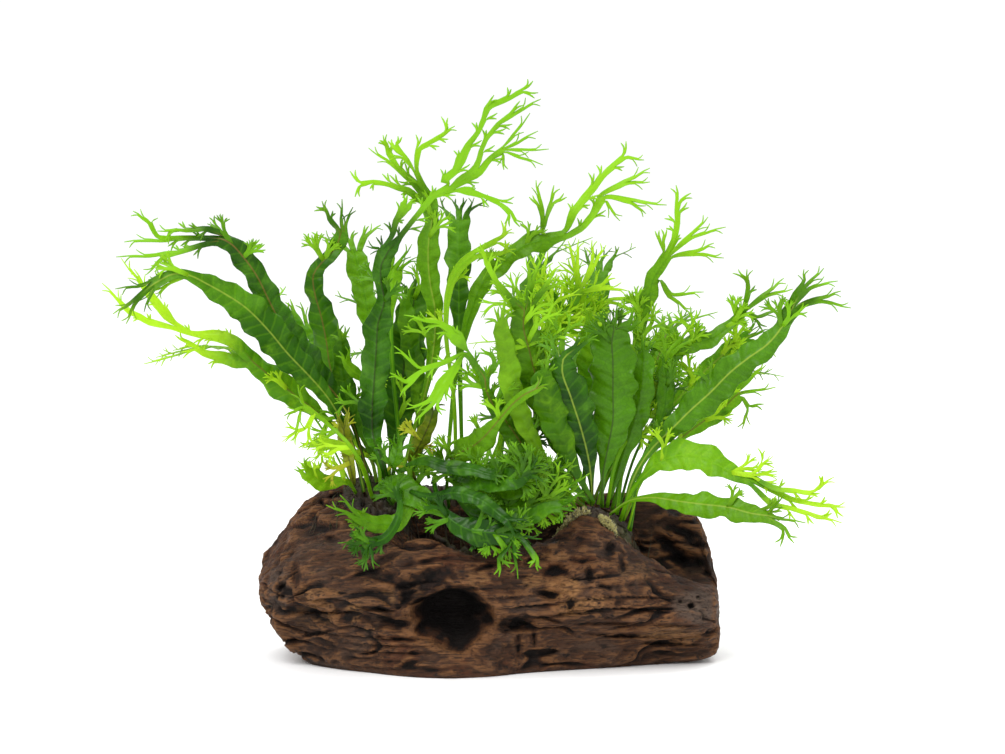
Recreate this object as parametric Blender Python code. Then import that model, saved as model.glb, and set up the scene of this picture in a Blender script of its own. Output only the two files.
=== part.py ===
"""Java fern growing on a piece of driftwood.

One hollow log lies on its flat underside. Three rhizome crowns creep over its top, and fifty fronds rise from
them. Every frond is one solid: a stalk, a lance-shaped blade and a forked, lacy tip.

Way points of the fronds are sizes in millimetres as they look from the front: how far right of the log's middle,
how far up, both in the upright plane through the log's middle. A frond's depth moves a point along the line of
sight, so the front look stays as given. Everything else is in plain millimetres and turned to metres at the end.
"""

import math

import bpy
import numpy as np
from mathutils import Vector
from mathutils.bvhtree import BVHTree

MM = 0.001

# The eye of the front look and the middle of what it looks at, in mm
EYE = np.array([6.25, -1800.0, 357.6])
AIM = np.array([6.25, 0.0, 143.0])

# Log, in mm. Each row is one cross-section:
# x; foot y, z; ledge y, z; rim y, z; hollow floor y, z; ridge y, z; back y, z; heel y, z
LOG_SECTIONS = (
    (-112, -12, 28, -22, 36, -8, 46, 0, 48, 10, 50, 23, 40, 12, 27),
    (-104, -20, 16, -35, 36, -12, 52, 0, 57, 15, 61, 31, 42, 20, 15),
    (-92, -16, 2, -40, 39, -15, 60, 0, 69, 17, 78, 37, 44, 28, 3),
    (-76, -27, 0, -45, 38, -21, 62, -3, 75, 18, 86, 43, 42, 36, 0),
    (-60, -36, 0, -48, 37, -28, 62, -6, 72, 19, 87, 46, 40, 40, 0),
    (-46, -44, 0, -50, 36, -35, 63, -8, 60, 20, 84, 48, 38, 43, 0),
    (-32, -49, 0, -52, 38, -35, 65, -6, 46, 22, 80, 50, 38, 44, 0),
    (-16, -50, 0, -53, 41, -34, 59, -4, 38, 23, 77, 50, 38, 44, 0),
    (0, -46, 0, -51, 38, -33, 58, -2, 37, 24, 75, 50, 38, 44, 0),
    (16, -38, 0, -48, 34, -33, 60, 0, 38, 24, 74, 49, 38, 43, 0),
    (32, -32, 0, -46, 33, -31, 65, 2, 46, 24, 75, 48, 38, 42, 0),
    (46, -28, 0, -44, 33, -26, 73, 0, 70, 23, 77, 47, 38, 40, 0),
    (58, -24, 0, -42, 31, -25, 67, -2, 67, 20, 78, 45, 38, 38, 0),
    (70, -20, 0, -39, 29, -25, 60, 2, 57, 18, 79, 43, 38, 36, 0),
    (82, -16, 0, -36, 27, -23, 52, 0, 42, 16, 79, 41, 38, 33, 0),
    (94, -13, 1, -33, 25, -21, 45, -2, 38, 14, 73, 38, 38, 30, 2),
    (104, -12, 2, -30, 24, -19, 42, -3, 37, 12, 68, 34, 36, 26, 4),
    (112, -9, 5, -25, 23, -16, 40, -5, 37, 8, 44, 26, 33, 20, 9),
)
LOG_ROWS = 27
UNDERCUT = 2.5
LEFT_END_BULGE = 2.5
RIGHT_END_BULGE = 2.0

# Front cave of the log: middle and half sizes
CAVE_MIDDLE = (-16.0, -50.0, 35.5)
CAVE_HALF = (19.6, 31.0, 16.5)
CAVE_SEGMENTS = 14
CAVE_RINGS = 8

# Space left between pieces that touch
CLEARANCE = 0.9

# Crowns of creeping rhizome: path over the log's top (x, y), half width, height
CROWNS = {
    "left": (((-74, 5), (-62, 5), (-51, 7), (-41, 9)), 10.0, 6.0),
    "middle": (((-38, 15), (-22, 18), (-4, 20), (22, 21)), 9.5, 6.0),
    "right": (((39, -6), (50, -6), (61, -5), (72, -4)), 10.0, 6.0),
}
MOSS_PADS = {
    "wide": (((33, -21), (41, -22), (49, -21.5)), 3.6, 3.2),
    "small": (((55, -21), (62, -21.5)), 3.4, 2.4),
}

STALK = 1.9
STALK_THICKNESS = 1.3
BLADE_THICKNESS = 0.9
TIP_WIDTH = 3.4
SPACING = 2.2
LOBE_FAN = 2.0
SOLVER_STEPS = 700
SLIMMING_STEPS = 8
EVENNESS = 0.05

# Fronds. The crown each one grows from; its depth at the base and at the tip; the way its upper face looks; the
# way points (right, up, width and, where it matters, depth); and the lobes of the tip. A lobe of two numbers is a
# tip, one of more numbers is a bent arm, and a list is a lobe that forks, which may start with way points of its own.
FRONDS = {
    "arch_left_upper": ("left", 3.5, -20, (0.1, -1, 0.35),
        ((-60, 90, 0), (-65, 108, 2), (-70, 122.5, 3), (-76, 132.5, 7), (-86, 144, 13), (-95, 155.5, 16),
         (-103.5, 167.5, 15), (-110.5, 181, 13), (-117, 194, 11), (-123.5, 203, 11), (-129, 209, 9)),
        [(-133, 211.5, 8), (-141, 217, -152, 216.5, -166.5, 216),
         [(-144.5, 212.5, 4), (-156, 212.3, 4), (-165, 212, 5), [(-170, 220, 3.6), (-178.5, 226), (-166, 222.5)],
          (-183, 210.5)],
         [(-144.5, 208.8, 4), (-155, 205.7, 4), (-162.5, 204, 5), (-187, 203), (-172, 194)]]),
    "arch_left_lower": ("left", -0.5, -44, (0.1, -1, 0.3),
        ((-63, 90, 0), (-67.5, 105, 2), (-73, 118, 3), (-80, 131, 6), (-90, 143, 11), (-101, 154.5, 16),
         (-111, 166.5, 17), (-122, 177.5, 16), (-132.5, 184.5, 13), (-142.5, 190, 9), (-151, 194, 5)),
        [(-158, 194.5, 5), (-168, 189.5, 6), (-187.5, 187), [(-177, 181.5, 4.5), (-188.5, 174.5), (-182, 169.5)],
         (-173, 175.5)]),
    "bright_left": ("left", 7, 12, (0.15, -1, 0.2),
        ((-56.5, 88, 0), (-60, 103, 1.9), (-70, 112.5, 2.5), (-81, 121, 3.5), (-91, 129, 9), (-101, 136.5, 15),
         (-110, 143.5, 12)),
        [(-118, 150, 9),
         [(-126, 159, 9), (-134, 163.5, 9.5), (-143, 164, 6), (-150, 165, 3.6), (-156.5, 168, 6),
          [(-163, 175.5, 7), (-170, 184, 6), (-178, 197), (-184.5, 202.5)],
          [(-170, 170.5, 5), (-180, 175.5, 4), (-194, 190), (-186.5, 183)]],
         [(-128, 151.5, 10), (-136, 153, 9), (-143, 155, 5), (-151, 160, 4), (-157.5, 164), (-153, 157)]]),
    "hidden_left": ("left", 10, 46, (0.2, -1, 0.2),
        ((-64, 92, 0), (-68, 122, 2), (-76, 143, 5), (-82, 155, 8), (-87, 164, 10)),
        [(-91, 169, 9), [(-98, 174, 5), (-103.5, 179.5), (-100, 182)], (-95, 180.5), (-87, 175),
         (-76, 166, -71, 161)]),
    "small_curl": ("left", 0.5, -6, (0.2, -1, 0.2),
        ((-54, 89, 0), (-58, 118, 2), (-61, 134, 2.2), (-64, 142.5, 4), (-68, 145.5, 6)),
        [(-71.5, 149.5, 4.5), (-70, 158), (-75.5, 156)]),
    "twisted_upright": ("left", 9.5, 16, (-0.5, -1, 0.1),
        ((-53, 92, 0), (-60, 108, 2), (-66, 120, 2.5), (-72.5, 129, 4), (-77, 139, 6), (-80, 150, 12),
         (-81.5, 161, 16), (-84, 173, 14), (-87.5, 186, 11), (-88, 194, 9), (-83, 201, 8)),
        [(-77, 207.5, 8), (-74.5, 214.5, 8), (-80, 222, -84, 231), (-74, 232), (-68.5, 228)]),
    "dark_upright": ("left", 3, -32, (0.3, -1, 0),
        ((-50.5, 90, 0), (-55, 104, 4), (-58.5, 113, 9), (-59, 127, 13), (-58, 141.5, 14), (-57, 156.5, 14),
         (-56, 170.5, 13), (-53, 181, 8), (-54.5, 190, 6), (-54.5, 199, 10)),
        [(-51, 206, 9), (-62, 208.5), (-57, 213), [(-48.5, 215, 4), (-47, 221, 4.5), (-42, 228.5, 8), (-37, 232)],
         [(-45, 213, 4), (-38, 222, 3.6), (-29, 233, 4.5), (-20, 237.5, 7),
          [(-22.5, 241, 6), (-17.5, 246, 5), (-14.7, 251.3, 7), (-11, 258.5, 5), (-6, 265.5, 3.4), (-3, 272, 4),
           (-1.5, 277, 4.5), (2, 284), (9, 282.5, 16, 286, 21.5, 291)],
          [(-13, 242, 7), (-6, 246.5, 9),
           [(-4.5, 255.5, 3.6), (-2, 262, 3.4), (4, 269, 3.8), (10.5, 274, 4), (15, 281), (25.5, 282)],
           [(0, 252, 4), (6, 256, 5), (20, 275), (24, 266), (29.5, 257), (26.5, 249), (7, 246.5)]],
          [(-10.5, 236, 6), (-4, 233.5, 3.6), (4, 230.5, 4), (10, 225, 4), (15, 218)]]]),
    "lime_behind": ("left", 11, 36, (0.2, -1, 0.2),
        ((-44.5, 92, 0), (-46, 118, 2), (-49, 150, 2.4), (-50, 175, 4), (-49, 188, 8)),
        [(-48, 196, 9), (-49, 211), (-39, 209.5), (-36.5, 203)]),
    "tall_left": ("left", 6.5, -12, (0.2, -1, 0),
        ((-46.5, 90, 0), (-38, 116.5, 2), (-31, 141.5, 3.5), (-28, 160, 7.5), (-27.5, 176, 8.5), (-30, 190, 9.5),
         (-31, 202, 11), (-30.5, 213, 10.5), (-29, 222, 7)),
        [(-31, 230.5, 8.5),
         [(-41, 236, 5), (-50, 239.3, 4), (-58, 240.3, 3.6), (-64.5, 239.5, 4), (-67.5, 233), (-70, 246)],
         [(-38, 240, 5), (-44.9, 246.5, 4.5), (-60.8, 257.5), (-50.5, 255, -53.5, 264), (-43.5, 252.5)],
         [(-34.5, 240, 4.5), (-36.8, 245.5, 3.8), [(-43, 253, 4), (-47.5, 258.5, 5), (-44, 263), (-51, 261)],
          (-35.8, 256.5, -26, 262.5, -17.5, 268.5)]]),
    "broad_grey": ("left", 13, 36, (0.1, -1, 0.1),
        ((-48.5, 92, 0), (-46.5, 108, 6), (-46, 122, 15), (-44, 140, 22), (-42, 157, 20), (-39.5, 172, 17),
         (-38, 182, 12)),
        [(-38, 187, 10), (-47, 189), (-36, 197), (-28, 187)]),
    "upper_right": ("middle", 20, 34, (0, -1, 0.45),
        ((-22, 90, 0), (-20, 116.5, 2), (-17.5, 141.5, 2.4), (-13, 163, 4), (-8, 180, 7), (-3, 191, 9),
         (3.5, 197, 9), (10, 203.5, 8), (18, 209, 11)),
        [(26, 211.5, 11),
         [(27, 221, 5), [(25, 229, 4.5), (23, 241.5), (19.5, 233)], [(31, 230, 4), (32, 239), (38.5, 233)]],
         [(37, 214, 7.5),
          [(41.5, 225, 6), (48, 233, 6), (56, 243.5, 5), (67, 253, 4.5), (68, 261), (77, 251.5)],
          [(45, 217, 5), (51, 223.5, 5), (56, 232.5, 7), [(67, 240, 4.5), (80, 247.5), (80, 240.5)],
           [(70, 231, 5), (88.5, 229), (78, 224.5)], (65, 221)]]]),
    "cross_centre": ("middle", 16, -14, (-0.3, -1, 0),
        ((-17, 90, 0), (-18, 131.5, 2), (-22, 166.5, 2.4), (-20, 188, 4), (-15, 198, 5)),
        [(-8, 204, 5), (3, 211, 11, 217), (2, 204, 13, 207)]),
    "lacy_centre": ("middle", 18, 10, (0.1, -1, 0.3),
        ((-9.5, 88, 0), (0, 116.5, 2), (13, 141.5, 2.4), (25, 158, 5), (34, 169, 7)),
        [(37.5, 175, 7), [(31, 184, 5), (26, 191, 6), (20, 203.5), (29, 206), (35.5, 199)],
         [(44, 185, 7), [(43, 198, 4.5), (39, 211), (44.5, 212)], [(51.5, 199, 4.5), (51, 211.5), (58, 209)],
          [(56, 188, 5), (61, 195), (69, 186)]]]),
    "bright_centre": ("middle", 21, 26, (0, -1, 0.5),
        ((-4, 88, 0), (7.5, 116.5, 2), (20, 141.5, 2.4), (27, 155, 3.5), (35, 165, 4.5)),
        [(43.5, 172.5, 5), (38, 183), [(51, 177.5, 5), (60, 181, 4.5), (78, 184), (71, 176.5)]]),
    "broad_dark": ("right", -7.5, -20, (-0.1, -1, 0),
        ((56, 78, 0), (56.5, 94, 3), (59, 108, 12), (61.5, 121.5, 19), (61.5, 135, 23), (61.5, 151, 22),
         (61, 161, 19)),
        [(62, 166.5, 15), (56, 177), (64, 180), [(69.5, 168.5, 8), (76, 171), (72, 178)]]),
    "dark_second": ("right", -8, -36, (0.1, -1, 0),
        ((51, 78, 0), (50.5, 92, 3), (49, 103, 9), (45.5, 117, 16), (40, 134, 19), (36, 146, 15)),
        [(36.5, 152, 10), (32, 159), [(43, 157.5, 5.5), (45, 165), (54, 164)]]),
    "brown_rib": ("right", -8, -44, (0.3, -1, 0),
        ((46.5, 78, 0), (41, 95, 3), (35, 109, 9), (29.5, 122.5, 14), (25.5, 134, 16), (22, 146, 15), (19, 158, 14),
         (16.5, 168, 13)),
        [(17, 176, 11), [(11, 182, 4.5), (3.5, 190, 4), (-1.5, 200, -5, 210)],
         [(20.5, 190, 5), (18, 203), (27, 205)], [(27, 187, 4.5), (33, 197), (38, 191)]]),
    "forked_low": ("right", -12, -54, (0, -1, 0.3),
        ((48, 76, 0), (35, 88, 2.4), (25, 98, 6), (17, 108, 11), (9, 119.5, 12.5), (2, 128.5, 8), (-2, 136.5, 4)),
        [(-2.5, 142, 5), (2.5, 149, 0, 158),
         [(-8, 150, 4), (-11.5, 154.5, 5),
          [(-16.5, 163, 10), (-25, 169.5, 4), (-43, 174), (-34, 167)],
          [(-23, 150.3, 3.6), (-34, 146.5, 4.5), (-48, 158.5), [(-41, 140, 5.5), (-50, 145), (-45, 133)]],
          [(-18.5, 146, 6), (-24, 138, 10), (-28, 131, 8), (-42, 127), (-38, 120), (-24, 124)]]]),
    "low_middle": ("middle", 13.5, -44, (-0.2, -1, 0.3),
        ((-13, 88, 0), (-20, 97, 2.4, 2), (-19, 102, 6, -18), (-13, 106, 12, -28), (-6, 110, 14), (0, 116, 9),
         (5, 122, 4.5), (11, 129, 4.5), (17, 134, 5.5)),
        [(23, 137, 4.5), (29.5, 139.5), (26, 143.5)]),
    "right_upright": ("right", -2.5, 24, (0.25, -1, 0),
        ((63.5, 80, 0), (66, 96.5, 2), (70, 121.5, 2.4), (73, 146.5, 4.5), (74.5, 162, 7), (75.5, 174, 8),
         (79.5, 185, 9)),
        [(82, 193, 8), [(90, 184, 5), (100.5, 174.5), (107, 185.5)],
         [(88.5, 203.5, 8), [(86, 210, 4), (82.5, 216), (88.5, 217)],
          [(92, 211, 5), (93.5, 220, 4.5), (94, 230, 4.5), (93, 239), (100.5, 235)],
          [(100, 213, 4.5), (109, 223), (118, 218)], [(102, 205, 4.5), (112, 210), (117, 202.5)]]]),
    "sweep_right": ("right", -5, -28, (0, -1, 0.35),
        ((66, 79, 0), (72, 93, 3), (80, 106, 4), (90, 116, 9), (100, 126, 14), (110, 135, 16.5), (121, 146, 15),
         (130, 153, 13.5), (139, 159.5, 11), (146, 168, 8)),
        [(151.5, 178, 8), [(157, 187.5, 8), (157, 197), (167, 197.5), (174, 191)],
         [(164, 181.5, 5), (175.5, 186), (180.5, 177.5)]]),
    "bright_sweep": ("right", -1.5, 38, (0.1, -1, 0.3),
        ((54, 82, 0), (59, 94.5, 3), (68.5, 108.5, 2.8), (80, 117, 2.4), (92, 130, 4), (102, 141, 8),
         (113, 151, 8), (122, 159, 7.5)),
        [(129, 163, 6.5), (139, 167), (133, 172), (138, 157)]),
    "fan_right": ("right", 1, 28, (-0.3, -1, 0.4),
        ((61, 81, 0), (69, 104, 2), (78, 126, 2.6), (86, 142, 4), (89, 150, 6), (95, 156, 8), (102, 160, 10),
         (109, 161.5, 9), (115, 165.5, 7), (121, 170, 5)),
        [(127, 176, 5), (129, 185, 128.5, 197), [(137, 183.5, 4.5), (147, 192.5), (151.5, 187)],
         [(133, 172.5, 4.5), (146, 177.5), (136.5, 166)]]),
    "small_right": ("right", -1, 12, (0.2, -1, 0.2),
        ((58.5, 80, 0), (64, 104, 2.4), (72, 118, 4), (77, 126, 7), (81.5, 135, 7), (85, 145, 5)),
        [(89, 155, 6.5), (84.5, 167), (102.5, 170.5), (106, 164)]),
    "dark_right": ("right", -5.5, 4, (0.3, -1, 0),
        ((70, 80, 0), (76, 100, 2.2), (83, 116, 4), (87, 127, 8), (88, 138, 10)),
        [(88, 145, 8), (86, 155), (92.5, 152)]),
    "crest_right": ("right", -1, 44, (0.1, -1, 0.3),
        ((66.5, 81, 0), (80, 98, 2.2), (95, 112, 3), (107, 121, 9), (117, 128, 9)),
        [(124, 134.5, 8), [(130, 143, 4.5), (138, 149), (130, 151)], (143, 138),
         [(129, 128, 4.5), (137, 129.5), (126, 117)]]),
    "low_right": ("right", -9, -46, (0.1, -1, 0.5),
        ((65, 77, 0), (71, 86, 2.2), (77.5, 94, 4), (86, 101, 11), (98, 104, 16), (110, 101, 14), (121, 95, 9)),
        [(130, 91.5, 6), (144, 87, 160, 85, 172, 93), (150, 82, 165, 79, 178, 78), (140, 80, 158, 75, 176, 70)]),
    "lowest_right": ("right", -10.5, -60, (0, -1, 0.7),
        ((60, 76, 0), (70, 81, 2.4), (81, 82.5, 5), (95, 80.5, 11), (107, 79, 13), (119.5, 77.5, 12.5),
         (131, 74.5, 10)),
        [(138, 73.5, 8), (147, 84), (158, 70), [(147, 67, 4), (152, 60), (145, 58)]]),
    "droop_left": ("left", 1.5, -52, (0, -1, 0.3),
        ((-45.5, 88, 0), (-43, 89, 2, -8), (-40, 91.5, 2.2, -18), (-37, 89, 2.6, -28), (-39, 80, 5, -38),
         (-47, 70.5, 9),
         (-57, 69.5, 8.5)),
        [(-65, 72.5, 7), (-75, 84), (-82, 79)]),
    "droop_arm": ("left", -0.3, -58, (0, -1, 0.2),
        ((-49.5, 87, 0), (-48.5, 86, 2, -8), (-47, 87, 2.2, -20), (-45, 83, 2.4, -34), (-46, 72, 4), (-53, 62, 5)),
        [(-60, 60, 5), (-76, 60), (-64, 52), (-58, 47)]),
    "front_flow": ("middle", 12, -68, (0, -1, 0.6),
        ((-20.5, 86, 0), (-21, 92, 2.4), (-13, 87, 7, -24), (-4, 81, 12, -42), (6, 77.5, 13, -54), (16, 77.5, 12),
         (26, 80, 9)),
        [(33, 84, 8), (30, 104), (43, 103), (50, 95), (42, 80)]),
    "front_hang": ("middle", 10.5, -60, (0, -1, 0.2),
        ((-25.5, 88, 0), (-28, 93, 2.2, -5), (-27, 86, 2.6, -28), (-21, 73, 6, -40), (-10, 66.5, 13),
         (2.5, 65, 13)),
        [(11, 64, 9), (5, 52, 4.5, 43), (14, 42), (23, 52, 24, 46), (26, 62)]),
    "front_mid": ("middle", 16, -48, (0.2, -1, 0.5),
        ((-29, 88, 0), (-27, 95, 2.4, 2), (-19, 95.5, 6, -20), (-9, 92.5, 12), (2, 91, 13), (13, 92, 10)),
        [(20, 95, 7), (24, 104), (30, 98), (28, 90)]),
    "front_right": ("right", -12, -33, (-0.1, -1, 0.5),
        ((44, 77, 0), (38, 84, 2.4, -24), (31, 87.5, 6), (22, 86, 11), (12, 84, 10)),
        [(5, 84, 7), (-3, 90), (-5, 82), (2, 75)]),
    "yellow_low": ("left", -1, -34, (0.2, -1, 0.1),
        ((-67, 87, 0), (-73, 91, 3.5), (-80, 90, 8), (-87, 92, 9)),
        [(-91.5, 95, 7), (-93, 103), (-98, 97)]),
    "old_spotted": ("left", 4, -26, (-0.3, -1, 0),
        ((-68, 88, 0), (-70, 100, 5), (-72, 110, 8)),
        [(-73, 117, 6), (-77, 125), (-70.5, 128)]),
    "sprig_left": ("left", -3, -44, (0.2, -1, 0),
        ((-58.5, 89, 0), (-69.5, 108, 1.9), (-80, 118.5, 1.9), (-88, 125, 2.4)),
        [(-93.5, 128, 4), (-96, 139), (-103, 123.5), (-98.5, 111)]),
    "black_rib": ("middle", 13, -44, (0.2, -1, 0),
        ((-33.5, 87, 0), (-39, 96, 2.4, -8), (-38, 104, 6), (-34, 112, 8), (-30, 121, 7)),
        [(-28.5, 126, 6), (-33, 133), (-24, 132)]),
    "round_dark": ("left", 10, -50, (-0.2, -1, 0.3),
        ((-42.5, 88, 0), (-43.5, 92, 2, 2), (-46.5, 96, 2.4, -14), (-48.5, 99, 4, -29), (-47, 103.5, 8)),
        [(-46, 108, 7), (-52, 113), (-43, 115)]),
}

# Fronds of the back and the sides: crown, base x, y, direction round the upright axis in degrees (0 right,
# 90 back), height and reach of the tip, blade width
BACK_FRONDS = {
    "back_far_left": ("left", -71, 8, 168, 60, 92, 11),
    "back_left": ("left", -60, 12, 140, 92, 78, 12),
    "back_left_high": ("left", -56, 13.5, 112, 128, 52, 13),
    "back_left_low": ("left", -51, 14.5, 100, 52, 88, 12),
    "back_mid_left": ("middle", -31, 22, 118, 96, 70, 13),
    "back_middle": ("middle", -14, 25, 92, 150, 46, 13),
    "back_mid_low": ("middle", -5, 26, 80, 60, 92, 12),
    "back_mid_right": ("middle", 4, 25, 66, 122, 62, 13),
    "back_mid_side": ("middle", 14, 24, 48, 80, 84, 12),
    "back_right_high": ("right", 46.5, 0, 80, 132, 58, 13),
    "back_right": ("right", 51.5, 1, 58, 96, 84, 12),
    "back_right_low": ("right", 64, 1.8, 38, 58, 96, 11),
    "side_right": ("right", 69, -7, 12, 84, 74, 11),
}


def fork(place, *lobes):
    """A way point with the lobes that leave it."""
    return {"x": place[0], "z": place[1], "w": place[2], "kids": list(lobes)}


def tips_in(lobe):
    """How many tips a lobe of the table ends in."""
    if isinstance(lobe, tuple):
        return 0 if len(lobe) == 3 else 1
    return sum(tips_in(part) for part in lobe)


def ends_of(lobe):
    """The far ends of a lobe of the table."""
    if isinstance(lobe, tuple):
        return [] if len(lobe) == 3 else [lobe[-2:]]
    return [end for part in lobe for end in ends_of(part)]


def grow(lobe, start):
    """A tree of way points from one lobe of the table."""
    if isinstance(lobe, tuple):
        places = [lobe[i:i + 2] for i in range(0, len(lobe), 2)]
        tree = fork((places[-1][0], places[-1][1], 0.0))
        for i in range(len(places) - 2, -1, -1):
            width = TIP_WIDTH * (1.25 - 0.45 * i / max(1, len(places) - 1))
            tree = fork((places[i][0], places[i][1], width), tree)
        return tree
    chain = [part for part in lobe if isinstance(part, tuple) and len(part) == 3]
    parts = lobe[len(chain):]
    if not chain:
        middle = np.mean([end for part in lobe for end in ends_of(part)], axis=0)
        place = np.array(start) + 0.42 * (middle - np.array(start))
        chain = [(place[0], place[1], TIP_WIDTH * 0.9 * math.sqrt(tips_in(lobe)))]
    tree = fork(chain[-1], *[grow(part, chain[-1][:2]) for part in parts])
    for place in reversed(chain[:-1]):
        tree = fork(place, tree)
    return tree


def flatten(tree):
    """The tree as arrays: place in the front look, width, number of the way point before."""
    rows, todo = [], [(tree, -1)]
    while todo:
        at, before = todo.pop(0)
        rows.append((at["x"], at["z"], at["w"], before))
        here = len(rows) - 1
        todo = [(kid, here) for kid in at["kids"]] + todo
    table = np.array(rows, float)
    return table[:, :2], table[:, 2], table[:, 3].astype(int)


def seen(places, depths):
    """Points in space from places in the front look and depths."""
    ahead = (AIM - EYE) / np.linalg.norm(AIM - EYE)
    right = np.array([1.0, 0.0, 0.0])
    up = np.cross(right, ahead)
    reach = np.linalg.norm(AIM - EYE)
    places = np.asarray(places, float)
    rays = (ahead * reach + np.outer(places[:, 0] - AIM[0], right) + np.outer(places[:, 1] - AIM[2], up))
    share = (np.asarray(depths, float) - EYE[1]) / rays[:, 1]
    return EYE + rays * share[:, None]


def as_seen(points):
    """The places in the front look of points in space."""
    ahead = (AIM - EYE) / np.linalg.norm(AIM - EYE)
    right = np.array([1.0, 0.0, 0.0])
    up = np.cross(right, ahead)
    reach = np.linalg.norm(AIM - EYE)
    away = np.asarray(points, float) - EYE
    far = away @ ahead
    return np.stack([away @ right / far * reach + AIM[0], away @ up / far * reach + AIM[2]], axis=1)


def catmull(points, at):
    """A smooth curve through rows of points, read at fractional row numbers."""
    points = np.asarray(points, float)
    last = len(points) - 1
    i = np.clip(np.floor(at).astype(int), 0, last - 1)
    t = (at - i).reshape((-1,) + (1,) * (points.ndim - 1))
    a, b = points[np.clip(i - 1, 0, last)], points[i]
    c, d = points[i + 1], points[np.clip(i + 2, 0, last)]
    return b + 0.5 * t * (c - a + t * (2 * a - 5 * b + 4 * c - d + t * (3 * (b - c) + d - a)))


def log_section(row):
    """The 18 points (y, z) round one cross-section of the log, from the front foot up and over to the back."""
    foot, ledge, rim, floor, ridge, back, heel = (np.array(row[i:i + 2], float) for i in range(1, 15, 2))
    sag = max(0.0, (rim[1] + ridge[1]) / 2 - floor[1])
    return np.array([
        foot,
        foot + 0.35 * (ledge - foot) + (UNDERCUT, 0),
        foot + 0.75 * (ledge - foot) + (UNDERCUT, 0),
        ledge,
        ledge + 0.33 * (rim - ledge) + (-3, 2),
        ledge + 0.7 * (rim - ledge) + (-3, 2),
        rim,
        rim + 0.45 * (floor - rim) + (0, -0.2 * sag),
        floor,
        floor + 0.5 * (ridge - floor) + (2, -0.25 * sag),
        ridge + (-5, -2),
        ridge + (5, -1),
        ridge + 0.45 * (back - ridge) + (4, 6),
        back,
        back + 0.5 * (heel - back) + (3, 0),
        heel,
        heel + 0.35 * (foot - heel),
        heel + 0.7 * (foot - heel),
    ])


def add_mesh(name, points, faces, colour):
    """One closed solid from points in mm."""
    mesh = bpy.data.meshes.new(name)
    mesh.from_pydata([tuple(p) for p in np.asarray(points) * MM], [], [tuple(int(i) for i in f) for f in faces])
    mesh.validate()
    piece = bpy.data.objects.new(name, mesh)
    bpy.context.collection.objects.link(piece)
    material = bpy.data.materials.new(name)
    material.use_nodes = True
    shader = material.node_tree.nodes["Principled BSDF"]
    shader.inputs["Base Color"].default_value = (*colour, 1)
    shader.inputs["Roughness"].default_value = 0.5
    material.diffuse_color = (*colour, 1)
    mesh.materials.append(material)
    return piece


def tube_faces(rows, round_count):
    """Triangles between rings of equal size."""
    faces = []
    for r in range(rows - 1):
        for k in range(round_count):
            a, b = r * round_count + k, r * round_count + (k + 1) % round_count
            c, d = b + round_count, a + round_count
            faces += [(a, b, c), (a, c, d)]
    return faces


def make_log():
    """The log: cross-sections joined, domed rough ends, the front cave cut out."""
    table = np.array(LOG_SECTIONS, float)
    sections = np.array([log_section(row) for row in LOG_SECTIONS])
    around = sections.shape[1]
    closed = np.concatenate([sections[:, -1:], sections, sections[:, :2]], axis=1)
    at = np.linspace(0, len(table) - 1, LOG_ROWS)
    xs = catmull(table[:, :1], at)[:, 0]
    rows = catmull(closed, at)
    turn = 1 + np.arange(around * 2) / 2
    rings = []
    for x, row in zip(xs, rows):
        ring = catmull(row, turn)
        rings.append(np.column_stack([np.full(len(ring), x), ring[:, 0], np.maximum(ring[:, 1], 0)]))
    count = around * 2
    points = []
    for end, bulge, shrink in ((0, -LEFT_END_BULGE, 0.6), (-1, RIGHT_END_BULGE, 0.6)):
        middle = rings[end].mean(axis=0)
        cap = middle + (rings[end] - middle) * shrink
        cap[:, 0] = rings[end][:, 0] + bulge
        points.append(cap)
    rings = [points[0]] + rings + [points[1]]
    faces = tube_faces(len(rings), count)
    flat = np.concatenate(rings)
    ends = (flat[:count].mean(axis=0), flat[-count:].mean(axis=0))
    flat = np.concatenate([flat, ends])
    first, second = len(flat) - 2, len(flat) - 1
    base = (len(rings) - 1) * count
    for k in range(count):
        faces.append((first, (k + 1) % count, k))
        faces.append((second, base + k, base + (k + 1) % count))
    log = add_mesh("driftwood_log", flat, faces, (0.16, 0.09, 0.05))
    face_outward(log)
    cutter = make_ellipsoid("cave_cutter", CAVE_MIDDLE, CAVE_HALF)
    cut = log.modifiers.new("front_cave", "BOOLEAN")
    cut.operation = "DIFFERENCE"
    cut.solver = "EXACT"
    cut.object = cutter
    cutter.hide_render = True
    cutter.display_type = "WIRE"
    return log


def make_ellipsoid(name, middle, half):
    """A closed ellipsoid whose poles point right and left."""
    rings = []
    for i in range(1, CAVE_RINGS):
        tilt = math.pi * i / CAVE_RINGS
        turn = 2 * math.pi * (np.arange(CAVE_SEGMENTS) + 0.5) / CAVE_SEGMENTS
        rings.append(np.column_stack([
            np.full(CAVE_SEGMENTS, -math.cos(tilt)),
            math.sin(tilt) * np.cos(turn),
            math.sin(tilt) * np.sin(turn),
        ]))
    points = np.concatenate(rings + [[(-1, 0, 0)], [(1, 0, 0)]]) * half + middle
    faces = tube_faces(len(rings), CAVE_SEGMENTS)
    base, first = (len(rings) - 1) * CAVE_SEGMENTS, len(points) - 2
    for k in range(CAVE_SEGMENTS):
        faces.append((first, (k + 1) % CAVE_SEGMENTS, k))
        faces.append((first + 1, base + k, base + (k + 1) % CAVE_SEGMENTS))
    cutter = add_mesh(name, points, faces, (0.5, 0.5, 0.5))
    face_outward(cutter)
    return cutter


def face_outward(piece):
    """Turns the faces of a closed solid outward."""
    mesh = piece.data
    points = np.array([v.co[:] for v in mesh.vertices])
    mesh.calc_loop_triangles()
    corners = np.array([t.vertices[:] for t in mesh.loop_triangles])
    a, b, c = (points[corners[:, i]] for i in range(3))
    if (a * np.cross(b, c)).sum() < 0:
        mesh.flip_normals()


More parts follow.
